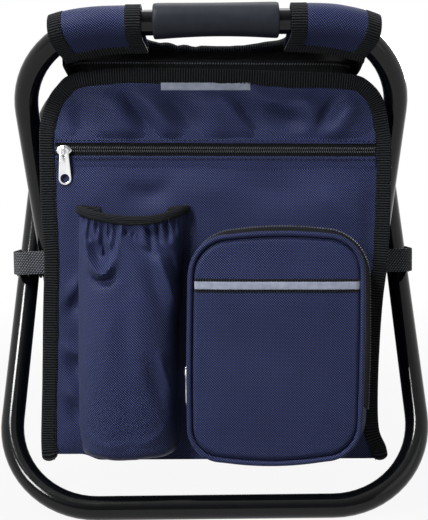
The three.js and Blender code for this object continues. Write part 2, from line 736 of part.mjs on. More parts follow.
// Face with a soft edge, held inside the piping
const FACE_SHRINK = pocketShrink(FLAP_FRONT) + PIPING_R + CLEAR;

function flapFace() {
  const bevel = FACE_BEVEL;
  const shape = outlineShape(pocketRing(0, FACE_SHRINK + bevel));
  const geometry = new THREE.ExtrudeGeometry(shape, {
    depth: PANEL_T, bevelEnabled: true, bevelSegments: 1, bevelSize: bevel, bevelThickness: bevel,
  });
  return geometry.rotateX(Math.PI / 2).translate(0, FLAP_FRONT - CLEAR - bevel, 0);
}

// Round bead of piping along the edge of the flap
function flapPiping() {
  const centre = FLAP_FRONT - CLEAR - PIPING_R;
  const middle = pocketShrink(FLAP_FRONT) + PIPING_R / 2;
  const rings = [];
  for (let k = 0; k < PIPING_SIDES; k += 1) {
    const a = (-2 * Math.PI * k) / PIPING_SIDES;
    rings.push(pocketRing(centre + PIPING_R * Math.sin(a), middle - (PIPING_R / 2) * Math.cos(a)));
  }
  return loft(rings, true);
}

const FACE_FRONT = FLAP_FRONT - CLEAR - PANEL_T - 2 * FACE_BEVEL;

function flapStrip(width, y, t) {
  const half = POCKET_HALF_W - FACE_SHRINK - 2 * FACE_BEVEL;
  return box(POCKET_X - half, POCKET_X + half, y - t, y, RIBBON_Z - width / 2, RIBBON_Z + width / 2);
}

// Webbing loop round both tubes at the crossing, sewn to the bag's side by two flanges
function sideLoop() {
  const inner = BAG_HOOP_HALF + TUBE_R + CLEAR + RIVET_HEAD_T + CLEAR;
  const root = GUSSET_X + CLEAR;
  const z0 = PIVOT_Z + LOOP_RISE - LOOP_H / 2;
  const ring = (grow, start) => {
    const [x1, y1, r] = [inner + grow, LOOP_HALF_Y + grow, LOOP_R + grow];
    const shape = new THREE.Shape();
    shape.moveTo(start, -y1);
    shape.lineTo(x1 - r, -y1);
    shape.absarc(x1 - r, r - y1, r, -Math.PI / 2, 0, false);
    shape.lineTo(x1, y1 - r);
    shape.absarc(x1 - r, y1 - r, r, 0, Math.PI / 2, false);
    shape.lineTo(start, y1);
    return shape;
  };
  const band = cut(slab(ring(LOOP_T, root), z0, z0 + LOOP_H),
    slab(ring(0, root - OVER), z0 - OVER, z0 + LOOP_H + OVER));
  const flange = (side) => {
    const [a, b] = [side * (LOOP_HALF_Y + LOOP_T / 2), side * (LOOP_HALF_Y + LOOP_FLANGE)];
    return box(root, root + LOOP_T, Math.min(a, b), Math.max(a, b), z0, z0 + LOOP_H);
  };
  return join(band, flange(1), flange(-1));
}

// Assembly
const stool = new THREE.Group();
const bagHoop = new THREE.Group();
const gripHoop = new THREE.Group();
bagHoop.position.z = PIVOT_Z;
bagHoop.rotation.x = Math.PI / 2 - LEAN;
gripHoop.position.z = PIVOT_Z;
gripHoop.rotation.x = Math.PI / 2 + LEAN;
stool.add(bagHoop, gripHoop);

function add(parent, name, geometry, material) {
  const mesh = new THREE.Mesh(geometry, material);
  mesh.name = name;
  parent.add(mesh);
  return mesh;
}

// Bag hoop, rear sleeve and pivots
const bagFacet = LEAN - Math.PI / 2;
const rearStations = [...rightBend(BAG_HOOP_HALF), ...leftBend(BAG_HOOP_HALF)];
const rearEnds = [[SLEEVE_OUTER + SEAT_SHIFT, 1], [SEAT_SHIFT - SLEEVE_OUTER, -1]];
add(bagHoop, 'bag_hoop_tube', hoopTube(BAG_HOOP_HALF, bagFacet), coatedSteel);
add(bagHoop, 'rear_sleeve', sleeve(rearStations, bagFacet, rearEnds), navyCloth);
for (const [x, side] of rearEnds) {
  const name = side > 0 ? 'rear_sleeve_tape_right' : 'rear_sleeve_tape_left';
  add(bagHoop, name, sleeveTape(rearStations, x, side), blackTape);
}
for (const [side, turn] of [['right', 0], ['left', Math.PI]]) {
  add(bagHoop, `pivot_rivet_${side}`, pivotRivet(), rivetSteel).rotation.y = turn;
  add(bagHoop, `pivot_washer_${side}`, pivotWasher(), nylon).rotation.y = turn;
}
add(stool, 'seat_sheet', seatSheet(), navyCloth);

// Grip hoop, foam grip and front sleeves
const gripFacet = -LEAN - Math.PI / 2;
add(gripHoop, 'grip_hoop_tube', hoopTube(GRIP_HOOP_HALF, gripFacet), coatedSteel);
add(gripHoop, 'foam_grip', gripFoam(), foam).position.set(SEAT_SHIFT, TOP_REACH, 0);
const frontSleeves = [
  ['right', 1, [...rightBend(GRIP_HOOP_HALF), station(SEAT_SHIFT + SLEEVE_INNER, TOP_REACH, Math.PI)]],
  ['left', -1, [station(SEAT_SHIFT - SLEEVE_INNER, TOP_REACH, Math.PI), ...leftBend(GRIP_HOOP_HALF)]],
];
for (const [name, side, stations] of frontSleeves) {
  const outerX = SEAT_SHIFT + side * SLEEVE_OUTER;
  const innerX = SEAT_SHIFT + side * SLEEVE_INNER;
  add(gripHoop, `front_sleeve_${name}`, sleeve(stations, gripFacet, [[outerX, side]]), navyCloth);
  add(gripHoop, `front_sleeve_tape_${name}`, sleeveTape(stations, outerX, side, innerX), blackTape);
}

// Bag shell and lining
const backHalf = BAG_HALF - BACK_TRIM;
add(stool, 'front_panel', bagPanel(FRONT_Y, BAG_HALF), navyCloth);
add(stool, 'front_binding', bagBinding(FRONT_Y, BAG_HALF), blackTape);
add(stool, 'back_panel', bagPanel(BACK_Y - PANEL_T, backHalf), navyCloth);
add(stool, 'back_binding', bagBinding(BACK_Y - PANEL_T, backHalf), blackTape);
add(stool, 'gusset_right', gusset(1), navyCloth);
add(stool, 'gusset_left', gusset(-1), navyCloth);
add(stool, 'base_panel', basePanel(), navyCloth);
add(stool, 'foam_liner', tub(FOAM_INSET, FOAM_T), whiteFoam);
add(stool, 'foil_liner', tub(FOIL_INSET, FOIL_T), foil);
add(stool, 'lid_panel', lidPanel(), navyCloth);

// Zips with their sliders and pulls
add(stool, 'main_zip_tape', mainZipTape(), blackTape);
add(stool, 'front_zip_tape', frontZipTape(), blackTape);
add(stool, 'pocket_zip_tape', pocketZipTape(), blackTape);

function addZip(name, x, y, z, turn, length, pullTilt) {
  const group = new THREE.Group();
  group.position.set(x, y, z);
  group.rotation.z = turn;
  stool.add(group);
  add(group, `${name}_zip_slider`, zipSlider(), nickel);
  const pull = add(group, `${name}_zip_pull`, zipPull(length), nickel);
  pull.position.set(0, BAR_Y, BAR_Z);
  pull.rotation.x = pullTilt;
}

const facingLeft = -Math.PI / 2;
const frontSliderX = SLIDER_W - FRONT_ZIP_HALF;
const frontSliderY = FRONT_Y - CLEAR - TAPE_Y - TEETH_T - CLEAR;
addZip('front', frontSliderX, frontSliderY, FRONT_ZIP_Z, 0, PULL_LENGTH, 0);
const pocketTapeY = POCKET_SPLIT + CLEAR + POCKET_TAPE_W / 2;
const pocketSliderX = POCKET_X - POCKET_HALF_W + pocketShrink(pocketTapeY) - 3 * CLEAR - TAPE_Y;
addZip('pocket', pocketSliderX, pocketTapeY, POCKET_SLIDER_Z, facingLeft, PULL_LENGTH, 0);
const mainSliderY = SHELL_BACK - MAIN_ZIP_STOP - SLIDER_W;
addZip('main', -TOP_FLAT - CLEAR, mainSliderY, BAG_TOP + CLEAR + MAIN_ZIP_H / 2, facingLeft,
  MAIN_PULL_LENGTH, MAIN_PULL_TILT);

// Reflective patch, pockets and side loops
const patchTop = BAG_TOP - PATCH_DROP;
add(stool, 'reflective_patch', box(PATCH_X - PATCH_W / 2, PATCH_X + PATCH_W / 2,
  FRONT_Y - CLEAR - TAPE_T, FRONT_Y - CLEAR, patchTop - PATCH_H, patchTop), reflective);
add(stool, 'bottle_pocket', bottlePocket(), navyCloth);
add(stool, 'bottle_pocket_elastic', bottleElastic(), blackTape);
add(stool, 'pocket_base', pocketWall(POCKET_BACK, POCKET_SPLIT, 0, POCKET_WALL), navyCloth);
add(stool, 'flap_wall', pocketWall(FLAP_BACK, FLAP_FRONT, 0, POCKET_WALL), navyCloth);
add(stool, 'flap_face', flapFace(), navyCloth);
add(stool, 'flap_piping', flapPiping(), navyCloth);
add(stool, 'flap_ribbon', flapStrip(RIBBON_W, FACE_FRONT - CLEAR, TAPE_T), blackTape);
add(stool, 'flap_reflective_band', flapStrip(BAND_W, FACE_FRONT - 2 * CLEAR - TAPE_T, TAPE_T), reflective);
for (const [side, turn] of [['right', 0], ['left', Math.PI]]) {
  add(stool, `side_loop_${side}`, sideLoop(), blackTape).rotation.z = turn;
}

export default stool;
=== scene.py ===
import math
from bisect import bisect_right

import bpy
from mathutils import Matrix, Vector, noise


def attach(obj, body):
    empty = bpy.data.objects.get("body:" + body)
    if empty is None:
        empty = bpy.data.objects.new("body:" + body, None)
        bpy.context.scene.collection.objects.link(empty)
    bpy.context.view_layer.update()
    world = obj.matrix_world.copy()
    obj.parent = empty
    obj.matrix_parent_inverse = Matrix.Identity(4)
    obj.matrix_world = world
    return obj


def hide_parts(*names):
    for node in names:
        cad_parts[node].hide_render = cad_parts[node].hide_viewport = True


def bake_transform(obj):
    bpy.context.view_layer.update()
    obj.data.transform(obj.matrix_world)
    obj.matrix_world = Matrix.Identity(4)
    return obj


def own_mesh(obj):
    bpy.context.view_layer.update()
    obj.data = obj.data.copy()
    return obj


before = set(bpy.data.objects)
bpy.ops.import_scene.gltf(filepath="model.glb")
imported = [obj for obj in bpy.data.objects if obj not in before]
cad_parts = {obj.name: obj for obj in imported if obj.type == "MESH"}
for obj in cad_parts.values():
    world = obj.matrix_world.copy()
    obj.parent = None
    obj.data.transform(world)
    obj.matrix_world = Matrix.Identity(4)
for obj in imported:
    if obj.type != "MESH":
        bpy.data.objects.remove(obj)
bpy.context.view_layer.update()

# Shapes are worked out in millimetres and stored in metres
MM = 0.001

# Frame sizes, as in the part's source
TUBE_R = 9.4
BEND_R = 75
LEAN = math.radians(35)
TOP_REACH = 238
FOOT_REACH = 219
PIVOT_Z = 188.71
SEAT_SHIFT = 4.5

# Bag sizes, as in the part's source
FRONT_Y = -106
BACK_Y = 94
BAG_BOTTOM = 42
BAG_TOP = 351.2
GUSSET_X = 131.9
LID_Z = 356.1
TOP_FLAT = 110.4

# Thickness of the cloth of the shell and of lighter cloth
SHELL_T = 1.4
LIGHT_T = 1.2

# Hoops: half width, and own plane with x across, y from the pivot up to the top rail, z square to the hoop
AT_PIVOT = Matrix.Translation((0, 0, PIVOT_Z))
HOOPS = {"bag_hoop": (167.5, AT_PIVOT @ Matrix.Rotation(math.pi / 2 - LEAN, 4, "X")),
         "grip_hoop": (146.9, AT_PIVOT @ Matrix.Rotation(math.pi / 2 + LEAN, 4, "X"))}

# Camera at the photograph's viewing angle
SENSOR_MM, LENS_MM = 36, 62.6
CAMERA_AT = (0.001, -0.823, 0.2559)
CAMERA_DOWN = math.radians(4.2)
CAMERA_ROLL = math.radians(-0.65)


def set_camera():
    lens = bpy.data.cameras.new("camera")
    lens.sensor_width, lens.lens = SENSOR_MM, LENS_MM
    camera = bpy.data.objects.new("camera", lens)
    bpy.context.scene.collection.objects.link(camera)
    tilt = Matrix.Rotation(math.pi / 2 - CAMERA_DOWN, 4, "X")
    camera.matrix_world = Matrix.Translation(CAMERA_AT) @ tilt @ Matrix.Rotation(CAMERA_ROLL, 4, "Z")
    bpy.context.scene.camera = camera


set_camera()


# Materials
def linear(code):
    """An sRGB hex colour as linear RGBA."""
    parts = [int(code[i:i + 2], 16) / 255 for i in (0, 2, 4)]
    return [p / 12.92 if p <= 0.04045 else ((p + 0.055) / 1.055) ** 2.4 for p in parts] + [1]


def add(tree, kind, inputs=None, **settings):
    """A node with its settings, and with its inputs set or linked."""
    node = tree.nodes.new(kind)
    for key, value in settings.items():
        setattr(node, key, value)
    for key, value in (inputs or {}).items():
        if isinstance(value, bpy.types.NodeSocket):
            tree.links.new(value, node.inputs[key])
        else:
            node.inputs[key].default_value = value
    return node


def new_material(name, **values):
    """A material, its tree, its shader with plain values on its own sockets, and the places on its surface."""
    material = bpy.data.materials.new(name)
    material.use_nodes = True
    tree = material.node_tree
    shader = tree.nodes["Principled BSDF"]
    for key, value in values.items():
        shader.inputs[key.replace("_", " ")].default_value = value
    return material, tree, shader, add(tree, "ShaderNodeTexCoord").outputs


def combine(tree, operation, *values):
    return add(tree, "ShaderNodeMath", dict(enumerate(values)), operation=operation).outputs[0]


def spread(tree, value, low, high, start=0.0, end=1.0):
    """A value's range from start to end, spread from low to high."""
    return add(tree, "ShaderNodeMapRange", {"Value": value, "From Min": start, "From Max": end,
                                            "To Min": low, "To Max": high}).outputs["Result"]


def wave(tree, place, period_mm, inputs=None, turn=0, across="X"):
    """Bands that repeat every so many millimetres of cloth, turned by so many degrees."""
    if turn:
        turned = add(tree, "ShaderNodeMapping", {"Vector": place, "Rotation": (0, 0, math.radians(turn))})
        place = turned.outputs["Vector"]
    scale = 2 * math.pi / 20 / (period_mm * MM)
    return add(tree, "ShaderNodeTexWave", {"Vector": place, "Scale": scale, **(inputs or {})},
               bands_direction=across).outputs["Fac"]


def mottle(tree, place, scale, detail):
    return add(tree, "ShaderNodeTexNoise", {
        "Vector": place["Object"], "Scale": scale, "Detail": detail}).outputs["Fac"]


def tint(tree, value, *stops):
    """Colours a value by stops of (position, sRGB colour): both ends first, then any between them."""
    tone = add(tree, "ShaderNodeValToRGB", {"Fac": value})
    ramp = tone.color_ramp.elements
    for k, (position, code) in enumerate(stops):
        stop = ramp[k] if k < 2 else ramp.new(position)
        stop.position = position
        stop.color = linear(code)
    return tone.outputs["Color"]


def surface(tree, shader, colour, height, strength, depth, rough=None):
    """Links a colour, a relief of some strength and depth in metres, and a roughness where it varies."""
    bump = add(tree, "ShaderNodeBump", {"Height": height, "Strength": strength, "Distance": depth})
    tree.links.new(colour, shader.inputs["Base Color"])
    tree.links.new(bump.outputs["Normal"], shader.inputs["Normal"])
    if rough is not None:
        tree.links.new(rough, shader.inputs["Roughness"])


# Coated polyester twill: threads 0.6 mm apart in reality, drawn at 1.4 mm so that they show;
# one diagonal of the weave is stronger than the other, and the coating gives a soft sheen
def coated_twill(name, dark, mid, light):
    material, tree, shader, place = new_material(
        name, Roughness=0.42, Sheen_Weight=0.03, Sheen_Roughness=0.45, Specular_IOR_Level=0.06)
    strong, weak = (wave(tree, place["UV"], 1.4, {"Distortion": 0.3, "Detail": 1}, turn) for turn in (-45, 45))
    weave = combine(tree, "MULTIPLY", strong, combine(tree, "MULTIPLY_ADD", weak, 0.7, 0.3))
    worn = spread(tree, mottle(tree, place, 26, 3), 0.86, 1.16)
    shade = add(tree, "ShaderNodeHueSaturation", {
        "Color": tint(tree, weave, (0, dark), (1, light), (0.4, mid)), "Value": worn})
    surface(tree, shader, shade.outputs["Color"], weave, 0.5, 0.0004)
    return material


# Grosgrain: ribs run across the tape every 1.2 or 2 mm, each a round cord that catches light on its top; that
# light is also painted into the colour as a painted highlight
def grosgrain(name, dark, light, rib_mm):
    material, tree, shader, place = new_material(
        name, Roughness=0.7, Sheen_Weight=0.03, Specular_IOR_Level=0.05)
    ribs = wave(tree, place["UV"], rib_mm, {"Distortion": 0.5, "Detail": 1.5, "Detail Scale": 2.0})
    cords_and_highlight = combine(tree, "MULTIPLY_ADD", wave(tree, place["UV"], 1.1, across="Y"), 0.3, ribs)
    # Painted highlight and shade: the colour is darker between the cords and lighter on their tops
    surface(tree, shader, tint(tree, cords_and_highlight, (0.25, dark), (1, light)), cords_and_highlight, 0.9, 0.0012)
    return material


# Belt webbing: a broken twill of thick yarn, 2 mm from ridge to ridge, with a faint shine on the ridges that is
# painted into the colour as a painted sheen
def webbing(name, dark, light):
    material, tree, shader, place = new_material(
        name, Roughness=0.65, Sheen_Weight=0.03, Specular_IOR_Level=0.05)
    ridges = wave(tree, place["UV"], 2.0, {"Distortion": 0.7}, 38)
    yarn = combine(tree, "MULTIPLY", ridges, wave(tree, place["UV"], 1.5, across="Y"))
    # Painted sheen: the colour runs from near black to pale grey on the yarn's ridges
    surface(tree, shader, tint(tree, yarn, (0, dark), (1, light)), yarn, 0.7, 0.0007)
    return material


# Powder coat on steel: black with a faint orange peel, about 2.5 mm across on a tube, and fine rubbing
def powder_coat(name, dark, light, rough, peel_mm):
    material, tree, shader, place = new_material(name, Specular_IOR_Level=0.28)
    peel = mottle(tree, place, 1 / (peel_mm * MM), 2)
    rubbed = mottle(tree, place, 60, 5)
    surface(tree, shader, tint(tree, rubbed, (0, dark), (1, light)), peel, 0.12, 0.0002,
            spread(tree, rubbed, rough - 0.06, rough + 0.08))
    return material


# Closed-cell foam: moulded skin, matt, with pores about 0.7 mm across
def cell_foam(name, dark, light):
    material, tree, shader, place = new_material(name, Roughness=0.46, Specular_IOR_Level=0.14)
    pores = add(tree, "ShaderNodeTexVoronoi", {"Vector": place["Object"], "Scale": 1 / (0.7 * MM)})
    cloud = mottle(tree, place, 120, 4)
    surface(tree, shader, tint(tree, cloud, (0.3, dark), (0.7, light)), pores.outputs["Distance"], 0.15, 0.0003)
    return material


# Polished or dull metal and plastic: a base colour with fine handling marks in its gloss
def rubbed_solid(name, dark, light, rough, metallic=0.0, mark_mm=1.5, specular=0.5):
    material, tree, shader, place = new_material(name, Metallic=metallic, Specular_IOR_Level=specular)
    marks = mottle(tree, place, 1 / (mark_mm * MM), 4)
    surface(tree, shader, tint(tree, marks, (0.3, dark), (0.7, light)), marks, 0.06, 0.0002,
            spread(tree, marks, rough * 0.7, rough * 1.3))
    return material


NAVY_TWILL = coated_twill("navy_coated_twill", "0b0e20", "242949", "596390")
BLACK_GROSGRAIN = grosgrain("black_grosgrain", "040505", "2c2e31", 2.0)
ZIP_WEAVE = grosgrain("black_zip_tape", "0b0c0d", "1f2123", 1.2)
ELASTIC_WEAVE = grosgrain("black_elastic_binding", "0e1012", "2d3034", 1.2)
BLACK_WEBBING = webbing("black_webbing", "1c1e21", "8a8d92")
GLOSS_BLACK = powder_coat("gloss_black_powder_coat", "040506", "090a0c", 0.12, 2.5)
RIVET_BLACK = powder_coat("blackened_rivet_steel", "121315", "1d1f22", 0.35, 0.8)
SLATE_FOAM = cell_foam("slate_grip_foam", "1f2229", "262931")
WHITE_FOAM = cell_foam("white_insulating_foam", "dcdcd8", "ecebe8")
NICKEL = rubbed_solid("nickel_plate", "eceded", "f8f8f9", 0.26, metallic=1.0, mark_mm=7)
# Black nylon coil, coloured grey as a painted glint on its loops
NYLON_COIL_PAINTED_GLINT = rubbed_solid("nylon_zip_coil_painted_glint", "383b3f", "64676c", 0.35, specular=0.4)
NYLON = rubbed_solid("nylon_washer", "1c1d20", "28292d", 0.5, specular=0.3)
SILVER_TAPE = rubbed_solid("silver_reflective_tape", "7e8495", "959bac", 0.5, mark_mm=5, specular=0.15)
FOIL = rubbed_solid("aluminised_lining", "b9bdc2", "d6d9dc", 0.3, metallic=0.9, mark_mm=7)
NAVY_THREAD = rubbed_solid("navy_thread", "0b0e20", "151a36", 0.6, mark_mm=0.6, specular=0.15)
# Painted shade: near-black colour for the seat's underside, standing in for the shade under the seat
SEAT_UNDERSIDE_SHADE = rubbed_solid("seat_underside_painted_shade", "07080c", "0d0e14", 0.7, mark_mm=4, specular=0.05)
BLACK_THREAD = rubbed_solid("black_thread", "060707", "121314", 0.6, mark_mm=0.6, specular=0.15)

# The part's material slot that each material fills
SLOT_OF = {material.name: slot for slot, materials in {
    "navy_cloth": (NAVY_TWILL, NAVY_THREAD),
    "black_tape": (BLACK_GROSGRAIN, ZIP_WEAVE, ELASTIC_WEAVE, BLACK_WEBBING, NYLON_COIL_PAINTED_GLINT, BLACK_THREAD),
    "coated_steel": (GLOSS_BLACK,), "grip_foam": (SLATE_FOAM,), "white_foam": (WHITE_FOAM,), "foil": (FOIL,),
    "nickel": (NICKEL,), "reflective": (SILVER_TAPE,)}.items() for material in materials}

SMOOTH_BELOW = math.radians(40)


# Making pieces
def start(name, shape, **settings):
    """A new primitive, alone in the selection."""
    bpy.ops.object.select_all(action="DESELECT")
    shape(**settings)
    piece = bpy.context.active_object
    piece.name = piece.data.name = name
    return piece


def pick(piece):
    bpy.ops.object.select_all(action="DESELECT")
    piece.select_set(True)
    bpy.context.view_layer.objects.active = piece


def settle():
    bpy.ops.object.transform_apply(location=True, rotation=True, scale=True)


def mode(name):
    bpy.ops.object.mode_set(mode=name)


def modify(piece, kind, **settings):
    pick(piece)
    modifier = piece.modifiers.new(kind.lower(), kind)
    for key, value in settings.items():
        setattr(modifier, key, value)
    bpy.ops.object.modifier_apply(modifier=modifier.name)


def edit_all(piece, step, **settings):
    """Runs an edit-mode step with everything selected."""
    pick(piece)
    mode("EDIT")
    bpy.ops.mesh.select_all(action="SELECT")
    step(**settings)
    mode("OBJECT")


def weld(piece, gap=0.02 * MM):
    edit_all(piece, bpy.ops.mesh.remove_doubles, threshold=gap)


def face_out(piece):
    edit_all(piece, bpy.ops.mesh.normals_make_consistent, inside=False)


def lay_cloth(name, cells, place, even=False):
    """A grid laid by place(s, t) in millimetres, with a UV map measured along the laid cloth in metres.

    Even cloth is measured along its middle lines only, so that ribs run square across a tape.
    """
    across, along = cells
    piece = start(name, bpy.ops.mesh.primitive_grid_add, x_subdivisions=across, y_subdivisions=along, size=1)
    spots = {}
    for vertex in piece.data.vertices:
        i, j = round((vertex.co.x + 0.5) * across), round((vertex.co.y + 0.5) * along)
        vertex.co = Vector(place(i / across, j / along)) * MM
        spots[i, j] = vertex
    flat = {}
    for j in range(along + 1):
        row = along // 2 if even else j
        run = [0.0]
        for i in range(across):
            run.append(run[-1] + (spots[i + 1, row].co - spots[i, row].co).length)
        for i in range(across + 1):
            flat[spots[i, j].index] = [run[i] - run[-1] / 2, 0.0]
    for i in range(across + 1):
        column = across // 2 if even else i
        rise = 0.0
        for j in range(along):
            rise += (spots[column, j + 1].co - spots[column, j].co).length
            flat[spots[i, j + 1].index][1] = rise
    for corner, loop in zip(piece.data.uv_layers.active.data, piece.data.loops):
        corner.uv = flat[loop.vertex_index]
    piece.data.update()
    return piece


def flat_weave(piece):
    """A UV map straight through a panel that faces the front or the back."""
    for corner, loop in zip(piece.data.uv_layers.active.data, piece.data.loops):
        point = piece.data.vertices[loop.vertex_index].co
        corner.uv = (point.x, point.z)


def turned_weave(piece):
    """Turns the UV map a quarter, so that ribs run across a tape whose length is its second direction."""
    for corner in piece.data.uv_layers.active.data:
        corner.uv = (corner.uv.y, corner.uv.x)


def chamfer(piece, width, segments, degrees):
    """Rounds the edges that are sharper than so many degrees."""
    modify(piece, "BEVEL", width=width, segments=segments, limit_method="ANGLE",
           angle_limit=math.radians(degrees))


def thicken(piece, mm, rounded=0):
    modify(piece, "SOLIDIFY", thickness=mm * MM, offset=-1, use_quality_normals=True)
    if rounded:
        chamfer(piece, rounded * MM, 2, 50)


def done(piece, material, body=None, node=None, flattens=False):
    """Last steps of a piece: finish, material slot, the body it moves with and the node it stands for."""
    pick(piece)
    bpy.ops.object.shade_smooth_by_angle(angle=SMOOTH_BELOW)
    piece.data.materials.clear()
    piece.data.materials.append(material)
    if body:
        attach(piece, body)
    if node:
        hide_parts(node)
    if flattens:
        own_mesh(piece)
    return piece


def sew(name, cells, place, thick, material, body, node=None, rounded=0, even=False, weave=None,
        flattens=False):
    """A piece of cloth from its laying to its body."""
    cloth = lay_cloth(name, cells, place, even)
    if weave:
        weave(cloth)
    thicken(cloth, thick, rounded)
    return done(cloth, material, body, node, flattens)


def bracket(values, wanted):
    """Index of the last rising value that isn't above the wanted one, and short of the end."""
    return min(max(bisect_right(values, wanted) - 1, 0), len(values) - 2)


class Line:
    """A smooth line through points, asked for a place at any share of its length."""

    def __init__(self, points, closed=False, rounding=12):
        pts = [Vector(p) for p in points]
        n = len(pts)
        self.dense = []
        for i in range(n if closed else n - 1):
            b, c = pts[i], pts[(i + 1) % n]
            a = pts[(i - 1) % n] if closed or i else 2 * b - c
            d = pts[(i + 2) % n] if closed or i + 2 < n else 2 * c - b
            for k in range(rounding):
                u = k / rounding
                self.dense.append(0.5 * (2 * b + (c - a) * u + (2 * a - 5 * b + 4 * c - d) * u * u
                                         + (3 * b - a - 3 * c + d) * u ** 3))
        self.dense.append(pts[0] if closed else pts[-1])
        self.runs = [0.0]
        for p, q in zip(self.dense, self.dense[1:]):
            self.runs.append(self.runs[-1] + (q - p).length)
        self.length = self.runs[-1]

    def at(self, share):
        want = min(max(share, 0.0), 1.0) * self.length
        k = bracket(self.runs, want)
        span = self.runs[k + 1] - self.runs[k]
        return self.dense[k].lerp(self.dense[k + 1], (want - self.runs[k]) / span if span else 0.0)

    def heading(self, share):
        step = 0.002
        return (self.at(share + step) - self.at(share - step)).normalized()


def mirrored(points, middle, axis=0):
    """Points up to a middle one, the middle, and the same points on its other side."""
    other = [tuple(-v if k == axis else v for k, v in enumerate(p)) for p in reversed(points)]
    return points + [middle] + other


def arc(centre, radius, first, end, step=15):
    """Points round a centre from one angle to short of another, in degrees."""
    turns = [math.radians(angle) for angle in range(first, end, step)]
    return [(centre[0] + radius * math.cos(a), centre[1] + radius * math.sin(a)) for a in turns]


def inward(edge, share):
    """The way into a panel, square to its edge."""
    along = edge.heading(share)
    return Vector((along.y, -along.x))


def sideways(line, share):
    """The level way square to a line."""
    along = line.heading(share)
    return Vector((along.y, -along.x, 0)).normalized()


def wander(x, y, scale, seed=0):
    """Smooth noise between -1 and 1 that changes over about so many millimetres."""
    return noise.noise(Vector((x / scale, y / scale, 7.3 * seed + 0.5)))


def ease(value, low, high):
    u = min(max((value - low) / (high - low), 0.0), 1.0)
    return u * u * (3 - 2 * u)


def signed_power(value, power):
    return math.copysign(abs(value) ** power, value)


def level(points, z):
    """Reads an edge, given as (x, height) from low to high, at a height."""
    for (x0, z0), (x1, z1) in zip(points, points[1:]):
        if z <= z1:
            return x0 + (x1 - x0) * ease(z, z0, z1) if z > z0 else x0
    return points[-1][0]


# Creases are given as they seem under soft light, which takes this many times the height
CREASE_GAIN = 2.4
CREASE_SPOTS = 24
CREASE_REACH = 2.6


class Crease:
    """A soft ridge in cloth along a line, or a hollow when its height is negative."""

    def __init__(self, points, width, height):
        line = Line(points, rounding=6)
        self.spots = [line.at(k / CREASE_SPOTS) for k in range(CREASE_SPOTS + 1)]
        self.width, self.height = width, CREASE_GAIN * height
        reach = CREASE_REACH * width
        self.low = (min(p.x for p in self.spots) - reach, min(p.y for p in self.spots) - reach)
        self.high = (max(p.x for p in self.spots) + reach, max(p.y for p in self.spots) + reach)

    def at(self, x, z):
        if not (self.low[0] < x < self.high[0] and self.low[1] < z < self.high[1]):
            return 0.0
        gap, k = min(((x - p.x) ** 2 + (z - p.y) ** 2, k) for k, p in enumerate(self.spots))
        fade = math.sin(math.pi * (k + 2) / (CREASE_SPOTS + 4)) ** 0.7
        return self.height * fade * math.exp(-gap / self.width ** 2)


def creased(creases, x, z):
    return sum(c.at(x, z) for c in creases)


# A bead, modelled once: stretched and copied along a line it makes stitches and zip coils
def bead_shape():
    ball = start("bead", bpy.ops.mesh.primitive_uv_sphere_add, segments=6, ring_count=4, radius=1)
    shape = [v.co.copy() for v in ball.data.vertices], [tuple(p.vertices) for p in ball.data.polygons]
    bpy.data.objects.remove(ball, do_unlink=True)
    return shape


BEAD_CORNERS, BEAD_FACES = bead_shape()


def beads(name, places):
    """One mesh of many beads, each set by its own matrix."""
    points, polygons = [], []
    for matrix in places:
        first = len(points)
        points.extend((matrix @ c) * MM for c in BEAD_CORNERS)
        polygons.extend(tuple(first + i for i in f) for f in BEAD_FACES)
    mesh = bpy.data.meshes.new(name)
    mesh.from_pydata(points, [], polygons)
    mesh.update()
    piece = bpy.data.objects.new(name, mesh)
    bpy.context.scene.collection.objects.link(piece)
    return piece


def steps(line, pitch):
    """Shares of a line's length at the middles of its steps."""
    count = int(line.length / pitch)
    return [(k + 0.5) / count for k in range(count)]


def stitching(name, lines, material, body, pitch, length, radius):
    size = Matrix.Diagonal((length / 2, radius, radius, 1))
    places = []
    for line in lines:
        for share in steps(line, pitch):
            turn = line.heading(share).to_track_quat("X", "Z").to_matrix().to_4x4()
            places.append(Matrix.Translation(line.at(share)) @ turn @ size)
    return done(beads(name, places), material, body)


COIL_SLANT = 0.55


# Zip coil: slanted nylon loops in one or two rows, their black nylon coloured grey as a painted glint
def coil(name, line, outward, body, pitch, across, lift, rows, size, flattens=False):
    places = []
    for share in steps(line, pitch):
        along, out = line.heading(share), outward(share)
        side = out.cross(along).normalized()
        for row in rows:
            lean = along * (COIL_SLANT * row) + side
            axis = Matrix((along, lean.normalized(), out)).transposed().to_4x4()
            centre = line.at(share) + side * (across * row) + out * lift
            places.append(Matrix.Translation(centre) @ axis @ Matrix.Diagonal((*size, 1)))
    piece = beads(name, places)
    face_out(piece)
    return done(piece, NYLON_COIL_PAINTED_GLINT, body, flattens=flattens)


# Rails: rings drawn out in the plane of a hoop
def rail_ring(name, x, radius, corners):
    """A ring round the top rail, ready to be extruded."""
    ring = start(name, bpy.ops.mesh.primitive_circle_add, vertices=corners, radius=radius * MM,
                 location=(x * MM, TOP_REACH * MM, 0), rotation=(0, math.pi / 2, 0))
    settle()
    mode("EDIT")
    bpy.ops.mesh.select_all(action="SELECT")
    return ring


def extrude(x, y):
    bpy.ops.mesh.extrude_region_move(TRANSFORM_OT_translate={"value": (x * MM, y * MM, 0)})


def stand_up(piece, plane):
    """Sets a piece made in a hoop's own plane into place."""
    piece.data.transform(Matrix.Scale(MM, 4) @ plane @ Matrix.Scale(1 / MM, 4))


BEND_STEPS = 16


